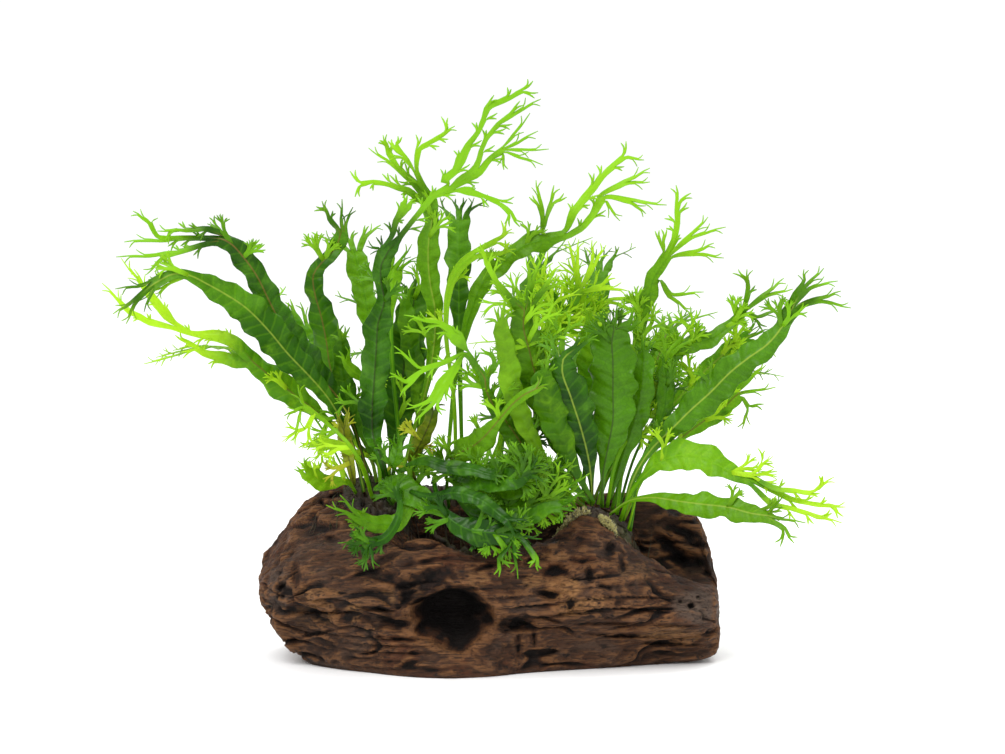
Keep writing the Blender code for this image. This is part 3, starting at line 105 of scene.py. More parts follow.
# Fronds. The crown each one grows from; its depth at the base and at the tip; the way its upper face looks; the
# way points (right, up, width and, where it matters, depth) in mm as they look from the front; and the lobes of
# the tip. A lobe of two numbers is a tip, one of more numbers is a bent arm, and a list is a lobe that forks,
# which may start with way points of its own.
FRONDS = {
    "arch_left_upper": ("left", 3.5, -20, (0.1, -1, 0.35),
        ((-60, 90, 0), (-65, 108, 2), (-70, 122.5, 3), (-76, 132.5, 7), (-86, 144, 13), (-95, 155.5, 16),
         (-103.5, 167.5, 15), (-110.5, 181, 13), (-117, 194, 11), (-123.5, 203, 11), (-129, 209, 9)),
        [(-133, 211.5, 8), (-141, 217, -152, 216.5, -166.5, 216),
         [(-144.5, 212.5, 4), (-156, 212.3, 4), (-165, 212, 5), [(-170, 220, 3.6), (-178.5, 226), (-166, 222.5)],
          (-183, 210.5)],
         [(-144.5, 208.8, 4), (-155, 205.7, 4), (-162.5, 204, 5), (-187, 203), (-172, 194)]]),
    "arch_left_lower": ("left", -0.5, -44, (0.1, -1, 0.3),
        ((-63, 90, 0), (-67.5, 105, 2), (-73, 118, 3), (-80, 131, 6), (-90, 143, 11), (-101, 154.5, 16),
         (-111, 166.5, 17), (-122, 177.5, 16), (-132.5, 184.5, 13), (-142.5, 190, 9), (-151, 194, 5)),
        [(-158, 194.5, 5), (-168, 189.5, 6), (-187.5, 187), [(-177, 181.5, 4.5), (-188.5, 174.5), (-182, 169.5)],
         (-173, 175.5)]),
    "bright_left": ("left", 7, 12, (0.15, -1, 0.2),
        ((-56.5, 88, 0), (-60, 103, 1.9), (-70, 112.5, 2.5), (-81, 121, 3.5), (-91, 129, 9), (-101, 136.5, 15),
         (-110, 143.5, 12)),
        [(-118, 150, 9),
         [(-126, 159, 9), (-134, 163.5, 9.5), (-143, 164, 6), (-150, 165, 3.6), (-156.5, 168, 6),
          [(-163, 175.5, 7), (-170, 184, 6), (-178, 197), (-184.5, 202.5)],
          [(-170, 170.5, 5), (-180, 175.5, 4), (-194, 190), (-186.5, 183)]],
         [(-128, 151.5, 10), (-136, 153, 9), (-143, 155, 5), (-151, 160, 4), (-157.5, 164), (-153, 157)]]),
    "hidden_left": ("left", 10, 46, (0.2, -1, 0.2),
        ((-64, 92, 0), (-68, 122, 2), (-76, 143, 5), (-82, 155, 8), (-87, 164, 10)),
        [(-91, 169, 9), [(-98, 174, 5), (-103.5, 179.5), (-100, 182)], (-95, 180.5), (-87, 175),
         (-76, 166, -71, 161)]),
    "small_curl": ("left", 0.5, -6, (0.2, -1, 0.2),
        ((-54, 89, 0), (-58, 118, 2), (-61, 134, 2.2), (-64, 142.5, 4), (-68, 145.5, 6)),
        [(-71.5, 149.5, 4.5), (-70, 158), (-75.5, 156)]),
    "twisted_upright": ("left", 9.5, 16, (-0.5, -1, 0.1),
        ((-53, 92, 0), (-60, 108, 2), (-66, 120, 2.5), (-72.5, 129, 4), (-77, 139, 6), (-80, 150, 12),
         (-81.5, 161, 16), (-84, 173, 14), (-87.5, 186, 11), (-88, 194, 9), (-83, 201, 8)),
        [(-77, 207.5, 8), (-74.5, 214.5, 8), (-80, 222, -84, 231), (-74, 232), (-68.5, 228)]),
    "dark_upright": ("left", 3, -32, (0.3, -1, 0),
        ((-50.5, 90, 0), (-55, 104, 4), (-58.5, 113, 9), (-59, 127, 13), (-58, 141.5, 14), (-57, 156.5, 14),
         (-56, 170.5, 13), (-53, 181, 8), (-54.5, 190, 6), (-54.5, 199, 10)),
        [(-51, 206, 9), (-62, 208.5), (-57, 213), [(-48.5, 215, 4), (-47, 221, 4.5), (-42, 228.5, 8), (-37, 232)],
         [(-45, 213, 4), (-38, 222, 3.6), (-29, 233, 4.5), (-20, 237.5, 7),
          [(-22.5, 241, 6), (-17.5, 246, 5), (-14.7, 251.3, 7), (-11, 258.5, 5), (-6, 265.5, 3.4), (-3, 272, 4),
           (-1.5, 277, 4.5), (2, 284), (9, 282.5, 16, 286, 21.5, 291)],
          [(-13, 242, 7), (-6, 246.5, 9),
           [(-4.5, 255.5, 3.6), (-2, 262, 3.4), (4, 269, 3.8), (10.5, 274, 4), (15, 281), (25.5, 282)],
           [(0, 252, 4), (6, 256, 5), (20, 275), (24, 266), (29.5, 257), (26.5, 249), (7, 246.5)]],
          [(-10.5, 236, 6), (-4, 233.5, 3.6), (4, 230.5, 4), (10, 225, 4), (15, 218)]]]),
    "lime_behind": ("left", 11, 36, (0.2, -1, 0.2),
        ((-44.5, 92, 0), (-46, 118, 2), (-49, 150, 2.4), (-50, 175, 4), (-49, 188, 8)),
        [(-48, 196, 9), (-49, 211), (-39, 209.5), (-36.5, 203)]),
    "tall_left": ("left", 6.5, -12, (0.2, -1, 0),
        ((-46.5, 90, 0), (-38, 116.5, 2), (-31, 141.5, 3.5), (-28, 160, 7.5), (-27.5, 176, 8.5), (-30, 190, 9.5),
         (-31, 202, 11), (-30.5, 213, 10.5), (-29, 222, 7)),
        [(-31, 230.5, 8.5),
         [(-41, 236, 5), (-50, 239.3, 4), (-58, 240.3, 3.6), (-64.5, 239.5, 4), (-67.5, 233), (-70, 246)],
         [(-38, 240, 5), (-44.9, 246.5, 4.5), (-60.8, 257.5), (-50.5, 255, -53.5, 264), (-43.5, 252.5)],
         [(-34.5, 240, 4.5), (-36.8, 245.5, 3.8), [(-43, 253, 4), (-47.5, 258.5, 5), (-44, 263), (-51, 261)],
          (-35.8, 256.5, -26, 262.5, -17.5, 268.5)]]),
    "broad_grey": ("left", 13, 36, (0.1, -1, 0.1),
        ((-48.5, 92, 0), (-46.5, 108, 6), (-46, 122, 15), (-44, 140, 22), (-42, 157, 20), (-39.5, 172, 17),
         (-38, 182, 12)),
        [(-38, 187, 10), (-47, 189), (-36, 197), (-28, 187)]),
    "upper_right": ("middle", 20, 34, (0, -1, 0.45),
        ((-22, 90, 0), (-20, 116.5, 2), (-17.5, 141.5, 2.4), (-13, 163, 4), (-8, 180, 7), (-3, 191, 9),
         (3.5, 197, 9), (10, 203.5, 8), (18, 209, 11)),
        [(26, 211.5, 11),
         [(27, 221, 5), [(25, 229, 4.5), (23, 241.5), (19.5, 233)], [(31, 230, 4), (32, 239), (38.5, 233)]],
         [(37, 214, 7.5),
          [(41.5, 225, 6), (48, 233, 6), (56, 243.5, 5), (67, 253, 4.5), (68, 261), (77, 251.5)],
          [(45, 217, 5), (51, 223.5, 5), (56, 232.5, 7), [(67, 240, 4.5), (80, 247.5), (80, 240.5)],
           [(70, 231, 5), (88.5, 229), (78, 224.5)], (65, 221)]]]),
    "cross_centre": ("middle", 16, -14, (-0.3, -1, 0),
        ((-17, 90, 0), (-18, 131.5, 2), (-22, 166.5, 2.4), (-20, 188, 4), (-15, 198, 5)),
        [(-8, 204, 5), (3, 211, 11, 217), (2, 204, 13, 207)]),
    "lacy_centre": ("middle", 18, 10, (0.1, -1, 0.3),
        ((-9.5, 88, 0), (0, 116.5, 2), (13, 141.5, 2.4), (25, 158, 5), (34, 169, 7)),
        [(37.5, 175, 7), [(31, 184, 5), (26, 191, 6), (20, 203.5), (29, 206), (35.5, 199)],
         [(44, 185, 7), [(43, 198, 4.5), (39, 211), (44.5, 212)], [(51.5, 199, 4.5), (51, 211.5), (58, 209)],
          [(56, 188, 5), (61, 195), (69, 186)]]]),
    "bright_centre": ("middle", 21, 26, (0, -1, 0.5),
        ((-4, 88, 0), (7.5, 116.5, 2), (20, 141.5, 2.4), (27, 155, 3.5), (35, 165, 4.5)),
        [(43.5, 172.5, 5), (38, 183), [(51, 177.5, 5), (60, 181, 4.5), (78, 184), (71, 176.5)]]),
    "broad_dark": ("right", -7.5, -20, (-0.1, -1, 0),
        ((56, 78, 0), (56.5, 94, 3), (59, 108, 12), (61.5, 121.5, 19), (61.5, 135, 23), (61.5, 151, 22),
         (61, 161, 19)),
        [(62, 166.5, 15), (56, 177), (64, 180), [(69.5, 168.5, 8), (76, 171), (72, 178)]]),
    "dark_second": ("right", -8, -36, (0.1, -1, 0),
        ((51, 78, 0), (50.5, 92, 3), (49, 103, 9), (45.5, 117, 16), (40, 134, 19), (36, 146, 15)),
        [(36.5, 152, 10), (32, 159), [(43, 157.5, 5.5), (45, 165), (54, 164)]]),
    "brown_rib": ("right", -8, -44, (0.3, -1, 0),
        ((46.5, 78, 0), (41, 95, 3), (35, 109, 9), (29.5, 122.5, 14), (25.5, 134, 16), (22, 146, 15), (19, 158, 14),
         (16.5, 168, 13)),
        [(17, 176, 11), [(11, 182, 4.5), (3.5, 190, 4), (-1.5, 200, -5, 210)],
         [(20.5, 190, 5), (18, 203), (27, 205)], [(27, 187, 4.5), (33, 197), (38, 191)]]),
    "forked_low": ("right", -12, -54, (0, -1, 0.3),
        ((48, 76, 0), (35, 88, 2.4), (25, 98, 6), (17, 108, 11), (9, 119.5, 12.5), (2, 128.5, 8), (-2, 136.5, 4)),
        [(-2.5, 142, 5), (2.5, 149, 0, 158),
         [(-8, 150, 4), (-11.5, 154.5, 5),
          [(-16.5, 163, 10), (-25, 169.5, 4), (-43, 174), (-34, 167)],
          [(-23, 150.3, 3.6), (-34, 146.5, 4.5), (-48, 158.5), [(-41, 140, 5.5), (-50, 145), (-45, 133)]],
          [(-18.5, 146, 6), (-24, 138, 10), (-28, 131, 8), (-42, 127), (-38, 120), (-24, 124)]]]),
    "low_middle": ("middle", 13.5, -44, (-0.2, -1, 0.3),
        ((-13, 88, 0), (-20, 97, 2.4, 2), (-19, 102, 6, -18), (-13, 106, 12, -28), (-6, 110, 14), (0, 116, 9),
         (5, 122, 4.5), (11, 129, 4.5), (17, 134, 5.5)),
        [(23, 137, 4.5), (29.5, 139.5), (26, 143.5)]),
    "right_upright": ("right", -2.5, 24, (0.25, -1, 0),
        ((63.5, 80, 0), (66, 96.5, 2), (70, 121.5, 2.4), (73, 146.5, 4.5), (74.5, 162, 7), (75.5, 174, 8),
         (79.5, 185, 9)),
        [(82, 193, 8), [(90, 184, 5), (100.5, 174.5), (107, 185.5)],
         [(88.5, 203.5, 8), [(86, 210, 4), (82.5, 216), (88.5, 217)],
          [(92, 211, 5), (93.5, 220, 4.5), (94, 230, 4.5), (93, 239), (100.5, 235)],
          [(100, 213, 4.5), (109, 223), (118, 218)], [(102, 205, 4.5), (112, 210), (117, 202.5)]]]),
    "sweep_right": ("right", -5, -28, (0, -1, 0.35),
        ((66, 79, 0), (72, 93, 3), (80, 106, 4), (90, 116, 9), (100, 126, 14), (110, 135, 16.5), (121, 146, 15),
         (130, 153, 13.5), (139, 159.5, 11), (146, 168, 8)),
        [(151.5, 178, 8), [(157, 187.5, 8), (157, 197), (167, 197.5), (174, 191)],
         [(164, 181.5, 5), (175.5, 186), (180.5, 177.5)]]),
    "bright_sweep": ("right", -1.5, 38, (0.1, -1, 0.3),
        ((54, 82, 0), (59, 94.5, 3), (68.5, 108.5, 2.8), (80, 117, 2.4), (92, 130, 4), (102, 141, 8),
         (113, 151, 8), (122, 159, 7.5)),
        [(129, 163, 6.5), (139, 167), (133, 172), (138, 157)]),
    "fan_right": ("right", 1, 28, (-0.3, -1, 0.4),
        ((61, 81, 0), (69, 104, 2), (78, 126, 2.6), (86, 142, 4), (89, 150, 6), (95, 156, 8), (102, 160, 10),
         (109, 161.5, 9), (115, 165.5, 7), (121, 170, 5)),
        [(127, 176, 5), (129, 185, 128.5, 197), [(137, 183.5, 4.5), (147, 192.5), (151.5, 187)],
         [(133, 172.5, 4.5), (146, 177.5), (136.5, 166)]]),
    "small_right": ("right", -1, 12, (0.2, -1, 0.2),
        ((58.5, 80, 0), (64, 104, 2.4), (72, 118, 4), (77, 126, 7), (81.5, 135, 7), (85, 145, 5)),
        [(89, 155, 6.5), (84.5, 167), (102.5, 170.5), (106, 164)]),
    "dark_right": ("right", -5.5, 4, (0.3, -1, 0),
        ((70, 80, 0), (76, 100, 2.2), (83, 116, 4), (87, 127, 8), (88, 138, 10)),
        [(88, 145, 8), (86, 155), (92.5, 152)]),
    "crest_right": ("right", -1, 44, (0.1, -1, 0.3),
        ((66.5, 81, 0), (80, 98, 2.2), (95, 112, 3), (107, 121, 9), (117, 128, 9)),
        [(124, 134.5, 8), [(130, 143, 4.5), (138, 149), (130, 151)], (143, 138),
         [(129, 128, 4.5), (137, 129.5), (126, 117)]]),
    "low_right": ("right", -9, -46, (0.1, -1, 0.5),
        ((65, 77, 0), (71, 86, 2.2), (77.5, 94, 4), (86, 101, 11), (98, 104, 16), (110, 101, 14), (121, 95, 9)),
        [(130, 91.5, 6), (144, 87, 160, 85, 172, 93), (150, 82, 165, 79, 178, 78), (140, 80, 158, 75, 176, 70)]),
    "lowest_right": ("right", -10.5, -60, (0, -1, 0.7),
        ((60, 76, 0), (70, 81, 2.4), (81, 82.5, 5), (95, 80.5, 11), (107, 79, 13), (119.5, 77.5, 12.5),
         (131, 74.5, 10)),
        [(138, 73.5, 8), (147, 84), (158, 70), [(147, 67, 4), (152, 60), (145, 58)]]),
    "droop_left": ("left", 1.5, -52, (0, -1, 0.3),
        ((-45.5, 88, 0), (-43, 89, 2, -8), (-40, 91.5, 2.2, -18), (-37, 89, 2.6, -28), (-39, 80, 5, -38),
         (-47, 70.5, 9),
         (-57, 69.5, 8.5)),
        [(-65, 72.5, 7), (-75, 84), (-82, 79)]),
    "droop_arm": ("left", -0.3, -58, (0, -1, 0.2),
        ((-49.5, 87, 0), (-48.5, 86, 2, -8), (-47, 87, 2.2, -20), (-45, 83, 2.4, -34), (-46, 72, 4), (-53, 62, 5)),
        [(-60, 60, 5), (-76, 60), (-64, 52), (-58, 47)]),
    "front_flow": ("middle", 12, -68, (0, -1, 0.6),
        ((-20.5, 86, 0), (-21, 92, 2.4), (-13, 87, 7, -24), (-4, 81, 12, -42), (6, 77.5, 13, -54), (16, 77.5, 12),
         (26, 80, 9)),
        [(33, 84, 8), (30, 104), (43, 103), (50, 95), (42, 80)]),
    "front_hang": ("middle", 10.5, -60, (0, -1, 0.2),
        ((-25.5, 88, 0), (-28, 93, 2.2, -5), (-27, 86, 2.6, -28), (-21, 73, 6, -40), (-10, 66.5, 13),
         (2.5, 65, 13)),
        [(11, 64, 9), (5, 52, 4.5, 43), (14, 42), (23, 52, 24, 46), (26, 62)]),
    "front_mid": ("middle", 16, -48, (0.2, -1, 0.5),
        ((-29, 88, 0), (-27, 95, 2.4, 2), (-19, 95.5, 6, -20), (-9, 92.5, 12), (2, 91, 13), (13, 92, 10)),
        [(20, 95, 7), (24, 104), (30, 98), (28, 90)]),
    "front_right": ("right", -12, -33, (-0.1, -1, 0.5),
        ((44, 77, 0), (38, 84, 2.4, -24), (31, 87.5, 6), (22, 86, 11), (12, 84, 10)),
        [(5, 84, 7), (-3, 90), (-5, 82), (2, 75)]),
    "yellow_low": ("left", -1, -34, (0.2, -1, 0.1),
        ((-67, 87, 0), (-73, 91, 3.5), (-80, 90, 8), (-87, 92, 9)),
        [(-91.5, 95, 7), (-93, 103), (-98, 97)]),
    "old_spotted": ("left", 4, -26, (-0.3, -1, 0),
        ((-68, 88, 0), (-70, 100, 5), (-72, 110, 8)),
        [(-73, 117, 6), (-77, 125), (-70.5, 128)]),
    "sprig_left": ("left", -3, -44, (0.2, -1, 0),
        ((-58.5, 89, 0), (-69.5, 108, 1.9), (-80, 118.5, 1.9), (-88, 125, 2.4)),
        [(-93.5, 128, 4), (-96, 139), (-103, 123.5), (-98.5, 111)]),
    "black_rib": ("middle", 13, -44, (0.2, -1, 0),
        ((-33.5, 87, 0), (-39, 96, 2.4, -8), (-38, 104, 6), (-34, 112, 8), (-30, 121, 7)),
        [(-28.5, 126, 6), (-33, 133), (-24, 132)]),
    "round_dark": ("left", 10, -50, (-0.2, -1, 0.3),
        ((-42.5, 88, 0), (-43.5, 92, 2, 2), (-46.5, 96, 2.4, -14), (-48.5, 99, 4, -29), (-47, 103.5, 8)),
        [(-46, 108, 7), (-52, 113), (-43, 115)]),
}

# Fronds of the back and the sides: crown, base x, y, direction round the upright axis in degrees (0 right,
# 90 back), height and reach of the tip, blade width
BACK_FRONDS = {
    "back_far_left": ("left", -71, 8, 168, 60, 92, 11),
    "back_left": ("left", -60, 12, 140, 92, 78, 12),
    "back_left_high": ("left", -56, 13.5, 112, 128, 52, 13),
    "back_left_low": ("left", -51, 14.5, 100, 52, 88, 12),
    "back_mid_left": ("middle", -31, 22, 118, 96, 70, 13),
    "back_middle": ("middle", -14, 25, 92, 150, 46, 13),
    "back_mid_low": ("middle", -5, 26, 80, 60, 92, 12),
    "back_mid_right": ("middle", 4, 25, 66, 122, 62, 13),
    "back_mid_side": ("middle", 14, 24, 48, 80, 84, 12),
    "back_right_high": ("right", 46.5, 0, 80, 132, 58, 13),
    "back_right": ("right", 51.5, 1, 58, 96, 84, 12),
    "back_right_low": ("right", 64, 1.8, 38, 58, 96, 11),
    "side_right": ("right", 69, -7, 12, 84, 74, 11),
}

# Lacy side shoots. Each one leaves a frond where it looks nearest to the place given: right, up, direction in
# degrees (0 right, 90 up), length in mm, and how young it is from 0 to 1
SHOOTS = {
    "brown_rib": ((17, 172, 100, 30, 0.9), (18, 160, 62, 30, 0.8), (22, 146, 125, 24, 0.6), (19, 158, 150, 22, 0.9),
                  (20, 150, 45, 26, 0.5)),
    "lacy_centre": ((30, 164, 118, 32, 0.9), (30, 164, 78, 36, 0.8), (26, 159, 150, 24, 0.9), (34, 169, 100, 30, 1)),
    "bright_centre": ((35, 165, 100, 34, 0.9), (43, 172, 62, 32, 0.9), (43, 172, 84, 28, 0.9), (40, 170, 20, 26, 1)),
    "dark_second": ((36, 150, 80, 30, 0.6), (37, 148, 120, 22, 0.3)),
    "forked_low": ((9, 119, 100, 22, 0.4), (2, 128, 60, 20, 0.5), (-2, 136, 120, 20, 0.8), (17, 108, 60, 20, 0.3)),
    "low_middle": ((-6, 110, 80, 16, 0.5), (5, 122, 110, 14, 0.8), (-19, 102, 110, 16, 0.7), (-20, 97, 160, 18, 0.4)),
    "right_upright": ((73, 146, 60, 26, 0.5), (75, 174, 130, 20, 0.8), (74, 162, 40, 22, 0.6), (70, 122, 110, 18, 0.4)),
    "broad_dark": ((61, 161, 60, 22, 0.5), (61, 161, 100, 20, 0.3), (62, 160, 130, 18, 0.3)),
    "small_right": ((77, 126, 60, 22, 0.5), (81, 135, 100, 20, 0.6), (72, 118, 30, 18, 0.6)),
    "dark_right": ((87, 127, 80, 22, 0.3), (83, 116, 40, 20, 0.2), (88, 138, 60, 16, 0.4)),
    "fan_right": ((86, 142, 80, 24, 0.6), (102, 160, 100, 20, 0.8), (95, 156, 120, 16, 0.7), (121, 170, 60, 18, 0.8)),
    "sweep_right": ((110, 135, 100, 18, 0.4), (80, 106, 60, 22, 0.4), (146, 168, 100, 18, 0.6),
                    (146, 168, 60, 18, 0.8)),
    "bright_sweep": ((102, 141, 110, 18, 0.8), (122, 159, 80, 16, 0.9), (113, 151, 20, 16, 0.8)),
    "crest_right": ((95, 112, 80, 20, 0.7), (107, 121, 30, 18, 0.8), (117, 128, 70, 16, 0.9)),
    "low_right": ((86, 101, 70, 18, 0.7), (121, 95, 30, 18, 0.9), (121, 95, -10, 24, 1)),
    "lowest_right": ((131, 74, 20, 18, 0.6), (119, 77, 60, 14, 0.6)),
    "dark_upright": ((-59, 127, 150, 22, 0.5), (-55, 190, 160, 16, 0.4), (-53, 181, 60, 16, 0.4)),
    "tall_left": ((-31, 141, 60, 22, 0.9), (-28, 160, 120, 18, 0.8), (-30, 213, 60, 18, 0.7), (-29, 222, 100, 16, 0.7)),
    "broad_grey": ((-44, 140, 150, 20, 0.9), (-46, 122, 60, 24, 0.9), (-38, 182, 60, 20, 0.7)),
    "arch_left_upper": ((-70, 122, 165, 18, 0.8), (-129, 209, 110, 18, 0.5), (-123, 203, 60, 14, 0.6)),
    "arch_left_lower": ((-73, 118, 200, 20, 0.8), (-151, 194, 190, 22, 0.7), (-151, 194, 140, 18, 0.8)),
    "bright_left": ((-81, 121, 235, 24, 0.9), (-70, 112, 200, 20, 1), (-60, 103, 160, 20, 0.9),
                    (-101, 137, 120, 14, 1)),
    "twisted_upright": ((-72, 129, 30, 16, 0.6), (-83, 201, 60, 14, 0.7), (-83, 201, 110, 18, 0.7)),
    "small_curl": ((-58, 118, 140, 16, 0.9), (-61, 134, 60, 14, 0.9)),
    "old_spotted": ((-72, 110, 100, 16, 1), (-70, 100, 190, 16, 1)),
    "sprig_left": ((-69, 108, 190, 20, 1), (-88, 125, 250, 24, 1)),
    "front_flow": ((6, 77, 30, 24, 0.3), (16, 77, 50, 26, 0.4), (26, 80, 38, 22, 0.4), (26, 80, 75, 24, 0.5),
                   (16, 77, 15, 26, 0.4), (26, 80, 8, 20, 0.5), (6, 77, 62, 22, 0.3)),
    "front_mid": ((2, 91, 60, 22, 0.4), (13, 92, 40, 24, 0.4), (-9, 92, 80, 18, 0.5), (-19, 95, 140, 20, 0.5),
                  (13, 92, 75, 20, 0.4), (13, 92, 10, 22, 0.4)),
    "front_hang": ((-10, 66, 20, 22, 0.2), (2, 65, -60, 18, 0.5), (-21, 73, 150, 18, 0.2), (2, 65, 10, 22, 0.4),
                   (-10, 66, -25, 18, 0.2)),
    "front_right": ((22, 86, 70, 20, 0.4), (12, 84, 110, 18, 0.3), (31, 87, 80, 20, 0.4), (22, 86, 160, 18, 0.3)),
    "black_rib": ((-38, 104, 60, 16, 0.7), (-39, 96, 150, 16, 0.8), (-34, 112, 130, 14, 0.8)),
    "droop_left": ((-40, 91, 100, 16, 0.5), (-37, 89, 60, 18, 0.4), (-57, 69, 170, 16, 0.5)),
    "droop_arm": ((-53, 62, 200, 20, 0.1), (-60, 60, 150, 14, 0.2), (-47, 80, 110, 18, 0.2)),
    "round_dark": ((-47, 103, 60, 14, 0.3), (-48, 99, 140, 16, 0.4), (-46, 96, 20, 20, 0.3)),
    "yellow_low": ((-80, 90, 150, 16, 1), (-73, 91, 100, 16, 0.9), (-87, 92, 110, 12, 1)),
    "upper_right": ((-3, 191, 60, 18, 0.7), (18, 209, 80, 16, 0.7), (3, 197, 110, 14, 0.6)),
    "hidden_left": ((-76, 143, 120, 16, 0.9), (-87, 164, 60, 14, 1)),
    "cross_centre": ((-20, 188, 60, 16, 0.8), (-22, 166, 120, 14, 0.8)),
}

# Fronds whose side shoots each have two more beside them
THICK = ("front_flow", "front_mid", "front_hang", "front_right", "lacy_centre", "bright_centre", "brown_rib",
         "droop_arm", "right_upright", "fan_right", "forked_low", "bright_sweep", "small_right")

# Narrow leaves that rise beside a frond and belong to its piece: depth at the base and at the tip, how young, the
# way its upper face looks, then way points and lobes as in the fronds' table
SIDE_LEAVES = {
    "front_hang": (
        (-34, -62, 0.1, (0, -1, 0.5), ((-40, 86, 2), (-30, 83, 4), (-17, 85, 7), (-4, 81, 8), (5, 74, 6)),
         [(11, 68), (13, 62), (19, 72)]),
        (-20, -46, 0.0, (0, -1, 0.4), ((-58, 87, 2), (-52, 89, 9), (-44, 87, 14), (-35, 82, 12), (-28, 78, 7)),
         [(-22, 74), (-24, 82), (-18, 70)])),
    "front_flow": (
        (-30, -54, 0.3, (0, -1, 0.6), ((-22, 92, 2), (-12, 89, 6), (0, 88, 8), (12, 86, 9), (25, 90, 7)),
         [(31, 97), (34, 105), (41, 100), (40, 92)]),
        (-36, -60, 0.2, (0, -1, 0.4), ((-18, 84, 2), (-6, 74, 7), (6, 71, 9), (20, 73, 8), (31, 78, 6)),
         [(38, 82), (42, 76), (36, 70), (47, 86)])),
    "front_mid": (
        (-28, -52, 0.3, (0.1, -1, 0.5), ((-42, 99, 2), (-32, 101, 5), (-22, 98, 7), (-10, 97, 7), (0, 94, 5)),
         [(6, 99), (9, 93), (4, 89)]),
        (-30, -50, 0.4, (0, -1, 0.4), ((-8, 93, 2), (2, 99, 6), (12, 100, 8), (22, 97, 7), (32, 98, 5)),
         [(38, 104), (43, 98), (40, 91)])),
    "front_right": (
        (-16, -44, 0.3, (0, -1, 0.4), ((50, 80, 2), (40, 90, 5), (32, 95, 8), (22, 99, 8), (12, 103, 5)),
         [(6, 108), (4, 102), (10, 112)]),),
    "yellow_low": (
        (-10, -30, 0.8, (0, -1, 0.2), ((-61, 90, 2), (-66, 102, 3), (-74, 108, 5), (-82, 110, 5)),
         [(-88, 114), (-91, 108), (-86, 103)]),),
    "brown_rib": (
        (-16, -38, 0.35, (0.2, -1, 0), ((52, 80, 2), (43, 96, 5), (36, 112, 12), (30, 128, 15), (27, 142, 12)),
         [(24, 152), (30, 156), (34, 148)]),
        (-14, -46, 0.6, (0.2, -1, 0), ((40, 84, 2), (28, 100, 4), (18, 118, 9), (11, 136, 11), (9, 152, 10),
                                           (6, 166, 8)),
         [(2, 178), (8, 184), (12, 176), (-3, 172)])),
    "broad_dark": (
        (-2, -8, 0.2, (-0.2, -1, 0), ((60, 82, 2), (66, 102, 6), (72, 120, 12), (76, 138, 12), (77, 152, 9)),
         [(76, 164), (82, 160), (72, 158)]),),
    "lacy_centre": (
        (14, -10, 0.5, (0.2, -1, 0.1), ((2, 90, 2), (6, 115, 3), (14, 138, 8), (24, 156, 11), (32, 168, 8)),
         [(36, 180), (41, 176), (30, 182)]),
        (16, 0, 0.4, (-0.2, -1, 0.1), ((30, 88, 2), (38, 112, 4), (46, 134, 10), (50, 152, 12), (50, 166, 9)),
         [(50, 178), (56, 174), (46, 180)]),),
    "twisted_upright": (
        (10, 4, 0.3, (0.2, -1, 0.1), ((-52, 92, 2), (-62, 112, 5), (-70, 130, 9), (-74, 146, 10), (-74, 158, 8)),
         [(-70, 168), (-76, 170), (-80, 164)]),),
    "broad_grey": (
        (16, 24, 0.4, (0.2, -1, 0.1), ((-38, 92, 2), (-34, 116, 5), (-36, 138, 9), (-40, 160, 10), (-42, 176, 8)),
         [(-44, 188), (-38, 190), (-48, 184)]),),
}


STALK = 1.9
TIP_WIDTH = 3.4


class Tone(Enum):
    """The leaf colours of the fern, named for the material slot that each one dresses."""

    DARK = "frond_dark"
    GREEN = "frond_green"
    BRIGHT = "frond_bright"
    OLD = "frond_old"


class Rib(Enum):
    """How a frond's midrib stands out: its value is the place on the rib's colour ramp."""

    PLAIN = 0.1
    YELLOW = 0.45
    BROWN = 0.75
    BLACK = 0.95


TONES = {
    Tone.DARK: ("dark_upright", "broad_dark", "dark_second", "sweep_right", "forked_low", "dark_right", "round_dark",
                "front_mid", "front_hang", "droop_arm", "arch_left_upper"),
    Tone.BRIGHT: ("bright_left", "sprig_left", "small_curl", "lime_behind", "lacy_centre", "bright_centre",
                  "bright_sweep", "yellow_low", "crest_right", "small_right", "low_right", "cross_centre",
                  "hidden_left", "side_right", "back_mid_low", "back_far_left"),
    Tone.OLD: ("old_spotted", "black_rib"),
}
RIBS = {
    Rib.YELLOW: ("arch_left_lower", "tall_left", "dark_second", "sweep_right", "lowest_right", "bright_sweep"),
    Rib.BROWN: ("arch_left_upper", "bright_left", "brown_rib", "forked_low", "twisted_upright", "crest_right",
                "low_middle", "back_left", "back_right"),
    Rib.BLACK: ("black_rib", "broad_dark", "dark_upright", "old_spotted", "broad_grey"),
}


def shade_of(name: str) -> float:
    """A steady number from 0 to 1 that belongs to a name.

    Args:
        name: the frond's name.

    Returns:
        The number.
    """
    return (sum((i + 3) * ord(letter) for i, letter in enumerate(name)) * 0.61803) % 1.0


def unit(rows: Array) -> Array:
    """Rows of vectors, each made one long."""
    return rows / np.maximum(np.linalg.norm(rows, axis=-1, keepdims=True), 1e-9)


def ease(value: Array, low: float, high: float) -> Array:
    """A smooth rise from 0 at low to 1 at high."""
    t = np.clip((value - low) / (high - low), 0.0, 1.0)
    return t * t * (3 - 2 * t)


def lattice(cells: Array, seed: int) -> Array:
    """Steady random numbers from 0 to 1 at whole-number places, by mixing the bits of their three numbers.

    Args:
        cells: whole numbers, three to a place.
        seed: which set of numbers.

    Returns:
        One number to a place.
    """
    n = cells[..., 0] * 374761393 + cells[..., 1] * 668265263 + cells[..., 2] * 1442695041 + seed * 1013904223
    n = ((n ^ (n >> 13)) * 1274126177) & 0xFFFFFFFF
    n = ((n ^ (n >> 15)) * 2246822519) & 0xFFFFFFFF
    return ((n ^ (n >> 16)) & 0xFFFF) / 65535.0


